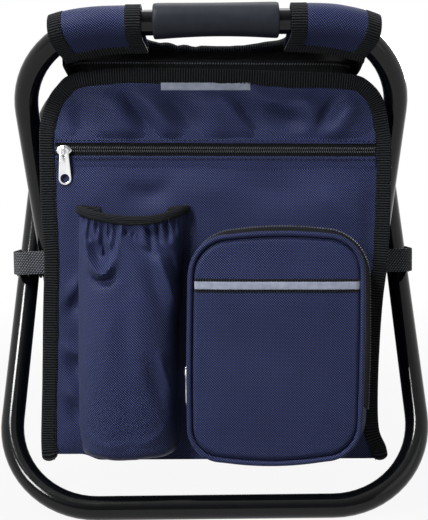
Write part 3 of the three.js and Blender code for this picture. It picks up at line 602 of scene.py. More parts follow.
# Bent steel tube: a ring drawn along the rails and spun round each bend
def bent_tube(hoop):
    half, plane = HOOPS[hoop]
    side, upright = half - BEND_R, TOP_REACH + FOOT_REACH - 2 * BEND_R
    high, low = TOP_REACH - BEND_R, BEND_R - FOOT_REACH
    tube = rail_ring(f"{hoop}_bent_tube", 0, TUBE_R, 36)
    for run, centre in (((-side, 0), (-side, high)), ((0, -upright), (-side, low)),
                        ((2 * side, 0), (side, low)), ((0, upright), (side, high))):
        extrude(*run)
        bpy.ops.mesh.spin(steps=BEND_STEPS, angle=-math.pi / 2, axis=(0, 0, 1),
                          center=(centre[0] * MM, centre[1] * MM, 0))
    extrude(-side, 0)
    mode("OBJECT")
    weld(tube, 0.05 * MM)
    face_out(tube)
    stand_up(tube, plane)
    done(tube, GLOSS_BLACK, hoop, f"{hoop}_tube")


for hoop in HOOPS:
    bent_tube(hoop)

for side in ("left", "right"):
    for kind, material in (("rivet", RIVET_BLACK), ("washer", NYLON)):
        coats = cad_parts[f"pivot_{kind}_{side}"].data.materials
        coats.clear()
        coats.append(material)

GRIP_HALF, GRIP_R, GRIP_BORE = 47, 13.3, 9.6
GRIP_LIFT = 0.9


# Foam grip: a ring drawn out along the rail, waisted in its middle and rolled in at the ends
def foam_grip():
    half, radius, bore = GRIP_HALF, GRIP_R, GRIP_BORE
    profile = mirrored([
        (-half + 0.9, bore), (-half, bore + 0.8), (-half + 0.1, radius - 1.4), (-half + 0.8, radius - 0.3),
        (-half + 2.0, radius), (-half + 12, radius - 0.35), (-25, radius - 0.7), (-10, radius - 1.0)],
        (0, radius - 1.05))
    grip = rail_ring("foam_grip_sleeve", SEAT_SHIFT + profile[0][0], profile[0][1], 56)
    for (x0, r0), (x1, r1) in zip(profile, profile[1:]):
        extrude(x1 - x0, 0)
        bpy.ops.transform.resize(value=(1, r1 / r0, r1 / r0),
                                 center_override=((SEAT_SHIFT + x1) * MM, TOP_REACH * MM, 0))
    mode("OBJECT")
    face_out(grip)
    modify(grip, "SUBSURF", levels=1, render_levels=1)
    stand_up(grip, HOOPS["grip_hoop"][1])
    for vertex in grip.data.vertices:
        run = (vertex.co.x / MM - SEAT_SHIFT) / half
        vertex.co.z += GRIP_LIFT * (2 - run * run) * MM
    done(grip, SLATE_FOAM, "grip_hoop", "foam_grip")


foam_grip()

# Seat sleeves round the top rails; their stiff cloth takes only a share of the rail's bend
BEND_SHARE = 0.42
SLEEVE_R = 12.6
SLEEVE_WRAP = 118
SLEEVE_FOOT = 3.5
SLEEVE_DROP = 22.4
SLEEVE_HANG = 3.5
SLEEVE_FLARE = 3.8
SLEEVE_DRAW_IN = 10.2
SLEEVE_TOP, SLEEVE_TALL = 8.6, 38.6
INNER_DRAW_IN = 4.2
SLEEVE_PUFF = 0.5
END_TAPE = {"slant": 10.6, "straight": 11.8}
END_TAPE_LIFT, END_TAPE_T = 0.9, 1.6
HEM_LIFT, HEM_T = 1.1, 1.2
TAPE_ROUND = 0.3
HEMS = (("front", (0.0, 0.078)), ("back", (0.922, 1.0)))
OUTER_X = 117.5
INNER_X = 55.5


def rail_drop(x, half):
    """How far the rail has bent down at x."""
    over = abs(x) - (half - BEND_R)
    return BEND_R - math.sqrt(BEND_R ** 2 - over ** 2) if over > 0 else 0.0


def sleeve_section(grow):
    """Section of a sleeve, from the foot of its front round the rail to the foot of its back: (out, across)."""
    radius, foot = SLEEVE_R + grow, -SLEEVE_DROP - grow * 0.4
    turns = [math.radians(SLEEVE_WRAP - 2 * SLEEVE_WRAP * k / 12) for k in range(13)]
    wrap = [(radius * math.cos(a), radius * math.sin(a)) for a in turns]
    return Line([(foot, SLEEVE_FOOT + grow), *wrap, (foot, -SLEEVE_FOOT - grow)], rounding=8)


def sleeve_point(x, offset, half):
    """A point of a sleeve's section in the hoop's plane."""
    hang = SLEEVE_HANG * ease(-offset, 0, SLEEVE_DROP) * ease(abs(x), 55, 115)
    return Vector((x, TOP_REACH - BEND_SHARE * rail_drop(x, half) + offset - hang))


def end_x(end, offset, half):
    """Where a point of the section meets the sleeve's end, which is drawn in below."""
    kind, x = end
    low = sleeve_point(x, offset, half).y - TOP_REACH
    away = 1 if x > 0 else -1
    if kind == "straight":
        return x - away * INNER_DRAW_IN * ease(-low, 4, 26)
    down = min(max((SLEEVE_TOP - low) / SLEEVE_TALL, 0.0), 1.0)
    return x + away * (SLEEVE_FLARE - SLEEVE_DRAW_IN * down ** 1.8)


def sleeve(label, hoop, ends, tapes, seed):
    """A sleeve between two ends, each slanted or straight at some x, with its end tapes and hems."""
    half, plane = HOOPS[hoop]

    def sheet(grow, shares=(0.0, 1.0), tape=None, puff=0.0):
        section = sleeve_section(grow)

        def place(s, t):
            share = shares[0] + (shares[1] - shares[0]) * t
            out, across = section.at(share)
            run0, run1 = (end_x(end, out, half) for end in ends)
            if tape == 0:
                run1 = run0 + END_TAPE[ends[0][0]]
            elif tape == 1:
                run0 = run1 - END_TAPE[ends[1][0]]
            run = run0 + (run1 - run0) * s
            swell = puff * (1 + wander(run, share * 90, 22, seed)) * math.sin(math.pi * min(1, max(0, share)))
            scale = 1 + swell / SLEEVE_R
            flat = sleeve_point(run, out * scale, half)
            return plane @ Vector((flat.x, flat.y, across * scale))

        return place

    sew(f"{label}_cloth", (44, 40), sheet(0.0, puff=SLEEVE_PUFF), LIGHT_T, NAVY_TWILL, hoop, label)
    for which, node in enumerate(tapes):
        sew(f"{label}_end_tape_{which}", (6, 44), sheet(END_TAPE_LIFT, tape=which), END_TAPE_T,
            BLACK_GROSGRAIN, hoop, node, TAPE_ROUND, even=True, weave=turned_weave)
    for face, shares in HEMS:
        sew(f"{label}_hem_{face}", (48, 6), sheet(HEM_LIFT, shares), HEM_T, BLACK_GROSGRAIN, hoop,
            rounded=TAPE_ROUND, even=True)


sleeve("front_sleeve_left", "grip_hoop",
       [("slant", SEAT_SHIFT - OUTER_X - 4), ("straight", SEAT_SHIFT - INNER_X)],
       ("front_sleeve_tape_left", None), seed=17)
sleeve("front_sleeve_right", "grip_hoop",
       [("straight", SEAT_SHIFT + INNER_X), ("slant", SEAT_SHIFT + OUTER_X + 2)],
       (None, "front_sleeve_tape_right"), seed=18)
sleeve("rear_sleeve", "bag_hoop", [("slant", SEAT_SHIFT - OUTER_X), ("slant", SEAT_SHIFT + OUTER_X)],
       ("rear_sleeve_tape_left", "rear_sleeve_tape_right"), seed=11)

# Seat: one sheet between the sleeves, sagging, with a hand cut-out whose free edge droops and is gathered
SEAT_HALF_Y = 121
SEAT_LEVEL = 387.7
SEAT_SAG = 12
SEAT_DROOP = 5.5
CORNER_DROOP = 3.8
CUTOUT_HALF = 62
CUTOUT_DEPTH = 50
GATHER_X, GATHER_WIDE, GATHER_TALL, GATHER_PITCH = -14, 32, 1.8, 13.5


def seat_front(x):
    """Where the seat's front edge lies at x: a wide cut-out with round corners."""
    u = abs(x - SEAT_SHIFT) / CUTOUT_HALF
    return -SEAT_HALF_Y + (CUTOUT_DEPTH * math.sqrt(1 - u ** 4) if u < 1 else 0.0)


def seat_place(s, t):
    x = SEAT_SHIFT + (2 * s - 1) * OUTER_X
    front = seat_front(x)
    y = front + (SEAT_HALF_Y - front) * t
    u = abs(x - SEAT_SHIFT) / CUTOUT_HALF
    slack = ease(u, 0.6, 0.95) * (1 - ease(u, 0.98, 1.06))
    droop = (SEAT_DROOP * max(0.0, 1 - u ** 2) + CORNER_DROOP * slack) * math.exp(-t * 6)
    gather = GATHER_TALL * math.exp(-((x - GATHER_X) / GATHER_WIDE) ** 2) * math.exp(-t * 9)
    room = ease(min(t, 1 - t), 0.0, 0.12)
    z = SEAT_LEVEL - SEAT_SAG * (1 - (y / SEAT_HALF_Y) ** 2) - droop
    z += gather * (abs(math.sin(math.pi * x / GATHER_PITCH)) - 0.6)
    return Vector((x, y, z + room * (wander(x, y, 38, 3) + 0.5 * wander(x, y, 15, 4))))


def hang_seat(piece, material, node=None):
    """Finishes a piece that lies from the front rail to the rear rail, and bakes its placement into its mesh.
    """
    done(piece, material, node=node)
    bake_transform(piece)


seat = lay_cloth("seat_sheet_cloth", (72, 72), seat_place)
thicken(seat, SHELL_T)
hang_seat(seat, NAVY_TWILL, "seat_sheet")
# Faces that look down take the painted shade of the seat's underside
seat.data.materials.append(SEAT_UNDERSIDE_SHADE)
for face in seat.data.polygons:
    face.material_index = 1 if face.normal.z < -0.3 else 0


def seat_edge(name, cells, place):
    tape = lay_cloth(name, cells, place, even=True)
    thicken(tape, 0.8, 0.2)
    hang_seat(tape, BLACK_GROSGRAIN)


# Sections of the seat's tapes: (distance from the edge into the cloth, height above it)
CUTOUT_FOLD = Line([(8, 1.0), (3, 1.2), (0, 1.0), (-1.2, -0.6), (0, -1.9), (3, -2.2), (8, -2.1)], rounding=4)
HEM_FOLD = Line([(9, 0.9), (1, 1.1), (-0.8, 0.2), (-1.0, -4), (-0.4, -11)], rounding=4)


def cutout_place(s, t):
    """Tape folded over the cut-out's edge: from above it, over the edge and back below."""
    turn = math.pi * (1 - (0.04 + 0.92 * s))
    back, up = CUTOUT_FOLD.at(t)
    x = SEAT_SHIFT + CUTOUT_HALF * signed_power(math.cos(turn), 0.5)
    y = -SEAT_HALF_Y + CUTOUT_DEPTH * math.sin(turn)
    slope = Vector((2 * signed_power(math.cos(turn), 1.5) / CUTOUT_HALF, math.sin(turn) / CUTOUT_DEPTH))
    slope.normalize()
    edge = seat_place((x - SEAT_SHIFT + OUTER_X) / (2 * OUTER_X), 0.0)
    rise = 0.03 * max(back, 0)
    return Vector((x + slope.x * back, y + slope.y * back, edge.z + up + rise))


def side_hem(label, side, drawn_in):
    """Tape over the seat's side edge, its outer leg hanging, longest at the front."""
    def place(s, t):
        along = 1 - s if side else s
        inset, up = HEM_FOLD.at(t)
        front = 1 - ease(along, 0.1, 0.6)
        if up < 0:
            up *= 1 + 2 * front
        edge = seat_place(side, along)
        inset += drawn_in * front + 0.5 * wander(edge.y, 0, 30, 5)
        return Vector((edge.x + (-inset if side else inset), edge.y, edge.z + up))

    seat_edge(f"seat_hem_{label}", (60, 12), place)


seat_edge("seat_cutout_tape", (80, 12), cutout_place)
side_hem("left", 0, 0)
side_hem("right", 1, 5)

# Bag: the front's outer edge as it hangs, a little turned and drawn in below,
# from the lower left over the top to the lower right
FRONT_EDGE = Line([
    (-139.5, 42), (-140, 60), (-138, 106), (-135.8, 165), (-134, 203), (-135, 225), (-135.7, 260),
    (-135.5, 300), (-134.2, 313), (-128.5, 330), (-121.5, 340.5), (-109, 350.5), (-79, 354.6),
    (-39, 354.4), (3, 353.2), (67, 350.4), (110, 348), (125.5, 341), (135.7, 327), (140.5, 304),
    (142, 287), (141.4, 249), (140.3, 218), (138.4, 194), (135.3, 169), (133, 136), (131.5, 97),
    (132.3, 66), (138.0, 51), (140.0, 41)])
BACK_EDGE = Line(mirrored([
    (-GUSSET_X + 9, 42.6), (-GUSSET_X + 2.5, 47), (-GUSSET_X, 58), (-GUSSET_X, 120), (-GUSSET_X + 1, 200),
    (-GUSSET_X, 290), (-GUSSET_X + 1.5, 313), (-GUSSET_X + 9, 333), (-GUSSET_X + 19, 345), (-104, 350.4),
    (-60, 351.2)], (0, 350.8)))
SEAM_INSET = 3


def edge_share(edge, x, z):
    """Share of an edge's length nearest to a point."""
    best = min(range(len(edge.dense)), key=lambda i: (edge.dense[i] - Vector((x, z))).length_squared)
    return edge.runs[best] / edge.length


def within(edge, corner_left, corner_right):
    """Maps (s, t) onto the area inside an edge: upright sides, the top and a straight hem."""
    f0, f1 = edge_share(edge, *corner_left), edge_share(edge, *corner_right)

    def seam(share):
        return edge.at(share) + inward(edge, share) * SEAM_INSET

    top_left, top_right = seam(f0), seam(f1)

    def place(s, t):
        crown = seam(f0 + (f1 - f0) * s) - top_left.lerp(top_right, s)
        return seam(f0 * t).lerp(seam(1 - (1 - f1) * t), s) + crown * t

    return place


# Zip line of the front panel, with the tilt of the bag
ZIP_LEFT, ZIP_RIGHT = -123, 129
ZIP_Z = 290.3
ZIP_TILT = -3.7 / 253


def zip_z(x):
    return ZIP_Z + ZIP_TILT * (x - 3)


# Creases of the front panel: line of (x, z), width and height
PANEL_CREASES = [Crease(*c) for c in (
    (((-84, 340), (-74, 322), (-62, 300)), 8, 2.0), (((-68, 338), (-59, 321), (-45, 303)), 5, -3.0),
    (((-54, 339), (-44, 322), (-31, 303)), 6, 2.2), (((-33, 337), (-22, 319), (-12, 303)), 8, -3.2),
    (((-8, 336), (2, 318), (12, 302)), 8, 1.6), (((2, 334), (18, 318), (32, 302)), 5, 2.2),
    (((22, 330), (30, 316), (42, 302)), 6, -3.0), (((33, 342), (44, 330), (58, 323)), 5, 2.6),
    (((42, 321), (56, 313), (72, 312)), 7, -3.2), (((62, 340), (72, 326), (88, 303)), 8, 2.0),
    (((104, 341), (94, 322), (82, 303)), 6, -2.6), (((116, 332), (106, 316), (97, 300)), 7, 2.0),
    (((-112, 335), (-104, 318), (-96, 300)), 8, -2.2),
    (((-124, 171), (-115, 178), (-106, 189)), 5, 1.5), (((-124, 160), (-114, 166), (-106, 176)), 6, -1.6),
    (((-122, 137), (-114, 132), (-105, 126)), 4.5, 1.6), (((-121, 128), (-114, 122), (-106, 114)), 6, -1.8),
    (((-121, 107), (-114, 98), (-106, 88)), 4.5, 1.5), (((-120, 92), (-114, 84), (-107, 74)), 6, -1.6),
    (((-109, 252), (-110, 190), (-110, 120), (-108, 62)), 11, -1.3),
    (((-70, 262), (-52, 256), (-36, 262)), 9, -2.2), (((-30, 274), (-10, 262), (6, 250)), 12, 1.4),
    (((20, 276), (44, 262), (70, 256)), 12, -1.5), (((82, 254), (100, 246), (116, 232)), 11, 1.4))]
PANEL_PUFF = 2.6
PANEL_DEEPEST = -4.5
HEM_RISE = 5.0


def front_relief(x, z):
    """How far the front panel stands out (positive) or in between its seams."""
    above = z - zip_z(x)
    room = ease(above, 5, 15) if above > 0 else ease(-above, 6, 40) * ease(z, 44, 70)
    if abs(x) > 84 or z > 320:
        gap = min((x - p.x) ** 2 + (z - p.y) ** 2 for p in FRONT_EDGE.dense[::4])
        room *= ease(math.sqrt(gap), 12, 28)
    soft = PANEL_PUFF + wander(x, z, 52, 12) + 0.35 * wander(x, z, 14, 13)
    return room * max(PANEL_DEEPEST, soft + creased(PANEL_CREASES, x, z))


inside_front = within(FRONT_EDGE, (-109, 350.5), (110, 348))
inside_back = within(BACK_EDGE, (-104, 350.4), (104, 350.4))


def front_place(s, t):
    x, z = inside_front(s, t)
    z += HEM_RISE * ease(-92 - x, 0, 16) * ease(60 - z, 0, 18)
    return Vector((x, FRONT_Y - front_relief(x, z) + 2.0 * ease(58 - z, 0, 16), z))


sew("front_panel_cloth", (110, 124), front_place, SHELL_T, NAVY_TWILL, "bag", "front_panel", weave=flat_weave)

# Binding folded over a seam: (inset from the edge, distance in front of the panel);
# its cut ends are rounded off
BINDING_FOLD = Line([(12.0, 0.5), (9, 1.0), (4.5, 1.3), (1.6, 1.5), (0.2, 0.7), (-0.2, -1.0), (0.3, -2.6),
                     (2.2, -3.4), (6, -3.2), (11.5, -3.0)], rounding=4)
BINDING_MIDDLE = 6
BINDING_STEP = 2.4
CUT_ROUND = 7.5


def binding(label, edge, y0, facing, flattens, ripple):
    def place(s, t):
        share = s if facing < 0 else 1 - s
        inset, out = BINDING_FOLD.at(t)
        run = share * edge.length
        loose = min(1.0, max(0.0, inset / 10))
        inset += ripple * (wander(run, 0, 30, 21) * 1.3 + wander(run, 0, 9, 22) * 0.4) * loose
        out += ripple * 0.5 * wander(run, 4, 20, 23)
        flat = edge.at(share) + inward(edge, share) * inset
        for end, turn in ((run, 1), (edge.length - run, -1)):
            if end < CUT_ROUND:
                corner = CUT_ROUND - math.sqrt(max(CUT_ROUND ** 2 - (inset - BINDING_MIDDLE) ** 2, 0.0))
                flat += edge.heading(share) * (turn * corner * (1 - end / CUT_ROUND))
        return Vector((flat.x, y0 + facing * out, flat.y))

    sew(f"{label}_binding_tape", (int(edge.length / BINDING_STEP), 22), place, 0.7, BLACK_GROSGRAIN, "bag",
        f"{label}_binding", even=True, flattens=flattens)


binding("front", FRONT_EDGE, FRONT_Y, -1, False, 1.0)
binding("back", BACK_EDGE, BACK_Y, 1, True, 0.6)


def seam_line(edge, inset, y):
    flats = [edge.at(k / 150) + inward(edge, k / 150) * inset for k in range(151)]
    return Line([(flat.x, y, flat.y) for flat in flats], rounding=2)


stitching("front_binding_stitches", [seam_line(FRONT_EDGE, 10.4, FRONT_Y - 1.25)], BLACK_THREAD, "bag",
          pitch=3.0, length=2.1, radius=0.3)

BACK_PUFF = 2.2


def back_place(s, t):
    x, z = inside_back(1 - s, t)
    room = ease(x + GUSSET_X, 8, 40) * ease(GUSSET_X - x, 8, 40) * ease(z, 50, 90) * ease(348 - z, 4, 34)
    puff = BACK_PUFF + 1.6 * wander(x, z, 60, 31) + 0.8 * wander(x * 0.8 + z * 0.5, z, 26, 32)
    return Vector((x, BACK_Y + room * puff, z))


sew("back_panel_cloth", (84, 96), back_place, SHELL_T, NAVY_TWILL, "bag", "back_panel", weave=flat_weave,
    flattens=True)

# Gussets and base, run round the bag between the two panels
SHELL_FRONT = FRONT_Y + 3.4
SHELL_BACK = BACK_Y - 3.4
BASE_Z = BAG_BOTTOM + 6.6
LOOP_Z, LOOP_REACH = 195, 34
SIDE_SINK, SIDE_PROUD = 3.4, 1.2

# Upright line of a gusset from its lower seam to the lid: (x, z)
GUSSET_LINE = [
    (TOP_FLAT - 0.2, BASE_Z), (GUSSET_X - 8, BAG_BOTTOM + 7.6), (GUSSET_X - 1.8, BAG_BOTTOM + 14),
    (GUSSET_X, BAG_BOTTOM + 34), (GUSSET_X + 0.6, 160), (GUSSET_X, 240), (GUSSET_X, 299), (GUSSET_X - 1.8, 316),
    (GUSSET_X - 8, 333), (TOP_FLAT + 5, 343), (TOP_FLAT - 0.4, 345.4)]


def gusset(label, side):
    """A soft side that sinks in, except where the webbing loop holds it."""
    line = Line([(side * x, z) for x, z in GUSSET_LINE])

    def place(s, t):
        depth = s if side > 0 else 1 - s
        y = SHELL_FRONT + (SHELL_BACK - SHELL_FRONT) * depth
        x, z = line.at(t)
        room = ease(min(depth, 1 - depth), 0.02, 0.2) * ease(t, 0.08, 0.3) * ease(1 - t, 0.06, 0.22)
        free = 1 - 0.9 * math.exp(-((z - LOOP_Z) / LOOP_REACH) ** 2)
        dent = 3.6 * wander(y, z, 62, 41 + side) + 1.5 * wander(y * 0.7 + z * 0.5, z, 26, 43) - SIDE_SINK
        return Vector((x + side * room * min(dent, SIDE_PROUD) * free, y, z))

    sew(f"gusset_{label}_cloth", (56, 92), place, SHELL_T, NAVY_TWILL, "bag", f"gusset_{label}", flattens=True)


gusset("right", 1)
gusset("left", -1)


def base_place(s, t):
    x = (1 - 2 * s) * TOP_FLAT
    y = SHELL_FRONT + (SHELL_BACK - SHELL_FRONT) * t
    room = ease(min(t, 1 - t), 0.02, 0.25)
    return Vector((x, y, BASE_Z - room * (1.2 + wander(x, y, 50, 51))))


sew("base_panel_cloth", (60, 52), base_place, SHELL_T, NAVY_TWILL, "bag", "base_panel", flattens=True)

# Lid: insulated flap that sags between its edges, its padding below
LID_HALF = TOP_FLAT - 1.2
LID_FRONT = FRONT_Y + 3.0
LID_BACK = 90.4
LID_CORNER = 20
LID_RISE = 1.6
LID_SAG = 5.4
LID_PADDING = 2.4


def lid_place(s, t):
    x = (2 * s - 1) * LID_HALF
    over = abs(x) - (LID_HALF - LID_CORNER)
    round_off = LID_CORNER - math.sqrt(max(LID_CORNER ** 2 - over * over, 0.0)) if over > 0 else 0.0
    front = LID_FRONT + round_off
    y = front + (LID_BACK - front) * t
    room = ease(min(s, 1 - s), 0.0, 0.14) * ease(min(t, 1 - t), 0.0, 0.14)
    return Vector((x, y, LID_Z + LID_RISE - room * (LID_SAG + 0.4 * wander(x, y, 45, 61))))


lid = lay_cloth("lid_panel_cloth", (60, 52), lid_place)
thicken(lid, 1.8, 0.6)
for vertex in lid.data.vertices:
    if vertex.normal.z < -0.5:
        x, y = vertex.co.x / MM, vertex.co.y / MM
        full = ease(TOP_FLAT - abs(x), 3, 34) * ease(min(y - FRONT_Y, LID_BACK - y), 6, 38)
        vertex.co.z -= LID_PADDING * MM * full
done(lid, NAVY_TWILL, "lid", "lid_panel", True)

# Main zip standing round the lid, its tape ribbed and its coil showing as a row of beads
ZIP_INSET = 0.2
MAIN_ZIP_BACK = 80
MAIN_ZIP_TILT = -0.018
MAIN_TAPE_LOW, MAIN_TAPE_HIGH, MAIN_COIL_Z = 346.0, 359.6, 357.4
MAIN_FRONT_RISE = 4.6


def round_lid():
    half, front, r = TOP_FLAT - ZIP_INSET, FRONT_Y + ZIP_INSET, LID_CORNER - ZIP_INSET
    bend = arc((-half + r, front + r), r, 195, 270)
    side = [(-half, MAIN_ZIP_BACK), (-half, (MAIN_ZIP_BACK + front) / 2), (-half, front + r)]
    return Line(mirrored(side + bend + [(-half + r, front), (-40, front)], (0, front)), rounding=4)


LID_ZIP = round_lid()


def main_zip_place(s, t):
    x, y = LID_ZIP.at(s)
    front = ease(-80 - y, 0, 20)
    low = MAIN_TAPE_LOW + MAIN_FRONT_RISE * front
    z = low + (MAIN_TAPE_HIGH - low) * t + MAIN_ZIP_TILT * x * front * (1 - t * 0.4)
    way = inward(LID_ZIP, s) * (0.6 * math.sin(math.pi * t))
    return Vector((x - way.x, y - way.y, z))


sew("main_zip_tape_cloth", (180, 6), main_zip_place, 0.9, ZIP_WEAVE, "bag", "main_zip_tape", flattens=True)
main_coil = Line([(*p, MAIN_COIL_Z + MAIN_ZIP_TILT * p.x) for p in
                  (LID_ZIP.at(k / 120) for k in range(121))], rounding=2)
coil("main_zip_coil", main_coil, lambda share: sideways(main_coil, share), "bag", pitch=2.0, across=0, lift=1.0,
     rows=(1,), size=(0.5, 0.9, 0.5), flattens=True)

# Height up to which the lining stands straight, and its thickness
LINING_STRAIGHT, LINING_T = 296, 1.0


# Lining seen when the lid is lifted: foam tub with a foil skin, drawn in towards its mouth
def liner(name, inset, drop, material, node):
    half, front, back = GUSSET_X - inset, SHELL_FRONT + inset, SHELL_BACK - inset
    low, high = BAG_BOTTOM + 6 + inset, BAG_TOP - drop
    tub = start(name, bpy.ops.mesh.primitive_cube_add, size=1,
                location=(0, (front + back) / 2 * MM, (low + high) / 2 * MM))
    tub.scale = (2 * half * MM, (back - front) * MM, (high - low) * MM)
    settle()
    mode("EDIT")
    bpy.ops.mesh.select_mode(type="FACE")
    bpy.ops.mesh.select_all(action="DESELECT")
    mode("OBJECT")
    for face in tub.data.polygons:
        face.select = face.normal.z > 0.9
    mode("EDIT")
    bpy.ops.mesh.delete(type="ONLY_FACE")
    mode("OBJECT")
    edit_all(tub, bpy.ops.mesh.subdivide, number_cuts=5)
    mouth = (TOP_FLAT - inset) / half
    for vertex in tub.data.vertices:
        vertex.co.x *= 1 - (1 - mouth) * ease(vertex.co.z / MM, LINING_STRAIGHT, high)
    thicken(tub, LINING_T)
    done(tub, material, "bag", node, True)


liner("foam_lining", 12, 16, WHITE_FOAM, "foam_liner")
liner("foil_lining", 14, 15, FOIL, "foil_liner")

# Front zip: tape, folded cloth edges, coil and topstitching; sections are (height from the zip, distance out)
ZIP_FOLD = [(5.5, 0.7), (5.0, 1.3), (5.5, 1.9), (6.4, 1.7), (8.2, 1.2), (12, 0.9), (16, 0.1)]


def zip_strip(name, profile, cells, material, node=None):
    section = Line(profile, rounding=6)

    def place(s, t):
        x = ZIP_LEFT + (ZIP_RIGHT - ZIP_LEFT) * s
        up, out = section.at(t)
        y = FRONT_Y - out + 0.2 * wander(x, 0, 40, 71)
        return Vector((x, y, zip_z(x) + up + 0.25 * wander(x, 9, 26, 72)))

    sew(name, (90, cells), place, 0.8, material, "bag", node)


zip_strip("front_zip_tape_cloth", [(-7.5, 0.6), (0, 0.8), (7.5, 0.6)], 4, ZIP_WEAVE, "front_zip_tape")
zip_strip("front_zip_upper_edge", ZIP_FOLD, 12, NAVY_TWILL)
zip_strip("front_zip_lower_edge", [(-up, out) for up, out in reversed(ZIP_FOLD)], 12, NAVY_TWILL)


def zip_line(offset, lift):
    places = [ZIP_LEFT + (ZIP_RIGHT - ZIP_LEFT) * k / 18 for k in range(19)]
    return Line([(x, FRONT_Y - lift, zip_z(x) + offset) for x in places], rounding=6)


coil("front_zip_coil", zip_line(0, 1.3), lambda share: Vector((0, -1, 0)), "bag", pitch=1.7, across=1.3,
     lift=0.3, rows=(-1, 1), size=(0.42, 1.3, 0.55))
stitching("front_zip_stitches", [zip_line(7.2, 1.7), zip_line(-7.4, 1.7)], NAVY_THREAD, "bag",
          pitch=3.6, length=2.6, radius=0.55)

# Reflective patch sewn under the top binding; the patch and the pocket's ribbon hang with the same tilt
PATCH_LEFT, PATCH_LONG, PATCH_Z, PATCH_TALL = -39, 70, 336.7, 5.9
TAPE_TILT = -0.012


def patch_place(s, t):
    x = PATCH_LEFT + PATCH_LONG * s
    z = PATCH_Z + PATCH_TALL * t + TAPE_TILT * (x + 4)
    return Vector((x, FRONT_Y - front_relief(x, z) * 0.9 - 0.9, z))


sew("reflective_patch_strip", (24, 4), patch_place, 0.7, SILVER_TAPE, "bag", "reflective_patch", 0.15)

# Zip slider and pull in millimetres, facing -Y with the back at y = 0, modelled once and copied to each zip
SLIDER_HALF_LONG, SLIDER_HALF_WIDE, SLIDER_T = 6.0, 4.2, 2.1
BAIL_WIDE, BAIL_THICK = 0.8, 0.5
BAIL_ARCH = Line(mirrored([(-1.6, -3.4), (-2.6, -3.35), (-4.3, -2.9), (-4.95, -1.6)], (-5.0, 0), axis=1),
                 rounding=4)
PULL_T = 1.25
PULL_TOP, PULL_END, PULL_EYE = 3.4, 5.0, 3.5
BAR_Y, BAR_Z = -3.3, 1.45


def peg(name, corners, radius, depth, y, z):
    """A round peg along Y."""
    return start(name, bpy.ops.mesh.primitive_cylinder_add, vertices=corners, radius=radius, depth=depth,
                 location=(0, y, z), rotation=(math.pi / 2, 0, 0))


def slider_mesh():
    """A rounded slider, narrower at one end, with its bail arched over it."""
    body = peg("zip_slider", 28, 1, SLIDER_T, -SLIDER_T / 2, 0)
    settle()
    for vertex in body.data.vertices:
        x, y, z = vertex.co
        vertex.co = (x * SLIDER_HALF_LONG, y, z * SLIDER_HALF_WIDE * (1 - 0.3 * ease(x, 0.1, 1.0)))
    chamfer(body, 0.5, 3, 60)
    bail = start("zip_bail", bpy.ops.mesh.primitive_grid_add, x_subdivisions=30, y_subdivisions=8, size=1)
    for vertex in bail.data.vertices:
        s, angle = vertex.co.x + 0.5, 2 * math.pi * (vertex.co.y + 0.5)
        flat = BAIL_ARCH.at(s) + inward(BAIL_ARCH, s) * (BAIL_THICK * math.sin(angle))
        vertex.co = (BAIL_WIDE * math.cos(angle), *flat)
    weld(bail, 0.001)
    face_out(bail)
    pick(body)
    bail.select_set(True)
    bpy.ops.object.join()
    return body


def pull_mesh(length):
    """Tapered tab with a slot for the bail and a round eye, hanging from its bar at the origin."""
    eye_z = PULL_END - length
    outline = [(-PULL_TOP, -0.4), (-PULL_TOP + 0.5, 0.65), (PULL_TOP - 0.5, 0.65), (PULL_TOP, -0.4)]
    outline += arc((0, eye_z), PULL_END, 0, -181, -12)
    tab = start("zip_pull", bpy.ops.mesh.primitive_circle_add, vertices=len(outline), radius=1,
                fill_type="NGON")
    for vertex, (x, z) in zip(tab.data.vertices, outline):
        vertex.co = (x, 0, z)
    modify(tab, "SOLIDIFY", thickness=PULL_T, offset=0)
    eye, slot = peg("eye", 32, PULL_EYE, 4, 0, eye_z), peg("slot", 20, 1.9, 4, 0, -3.3)
    slot.scale = (1.0, 1.6, 1.0)
    for cutter in (eye, slot):
        modify(tab, "BOOLEAN", object=cutter, operation="DIFFERENCE", solver="EXACT")
        bpy.data.objects.remove(cutter, do_unlink=True)
    chamfer(tab, 0.28, 2, 50)
    return tab


def fit_zip(label, pull, place, turn, tilt, flattens=False):
    at = Matrix.Translation(place) @ Matrix.Rotation(turn, 4, "Z")
    hang = at @ Matrix.Translation((0, BAR_Y, BAR_Z)) @ Matrix.Rotation(tilt, 4, "X")
    for source, spot, kind in ((slider, at, "slider"), (pull, hang, "pull")):
        piece = source.copy()
        piece.data = source.data.copy()
        piece.name = piece.data.name = f"{label}_zip_{kind}_metal"
        bpy.context.scene.collection.objects.link(piece)
        piece.data.transform(Matrix.Scale(MM, 4) @ spot)
        done(piece, NICKEL, f"{label}_{kind}", f"{label}_zip_{kind}", flattens)


# Each slider at rest: its place, its turn and the tilt of its pull
slider = slider_mesh()
long_pull, short_pull = pull_mesh(28.5), pull_mesh(19)
fit_zip("front", long_pull, (-115.5, -108.2, 291.0), 0, math.radians(7))
fit_zip("pocket", long_pull, (-18.62, -116.0, 116.0), -math.pi / 2, 0)
fit_zip("main", short_pull, (-110.7, 71.0, 353.62), -math.pi / 2, -math.radians(35), True)
for source in (slider, long_pull, short_pull):
    bpy.data.objects.remove(source, do_unlink=True)

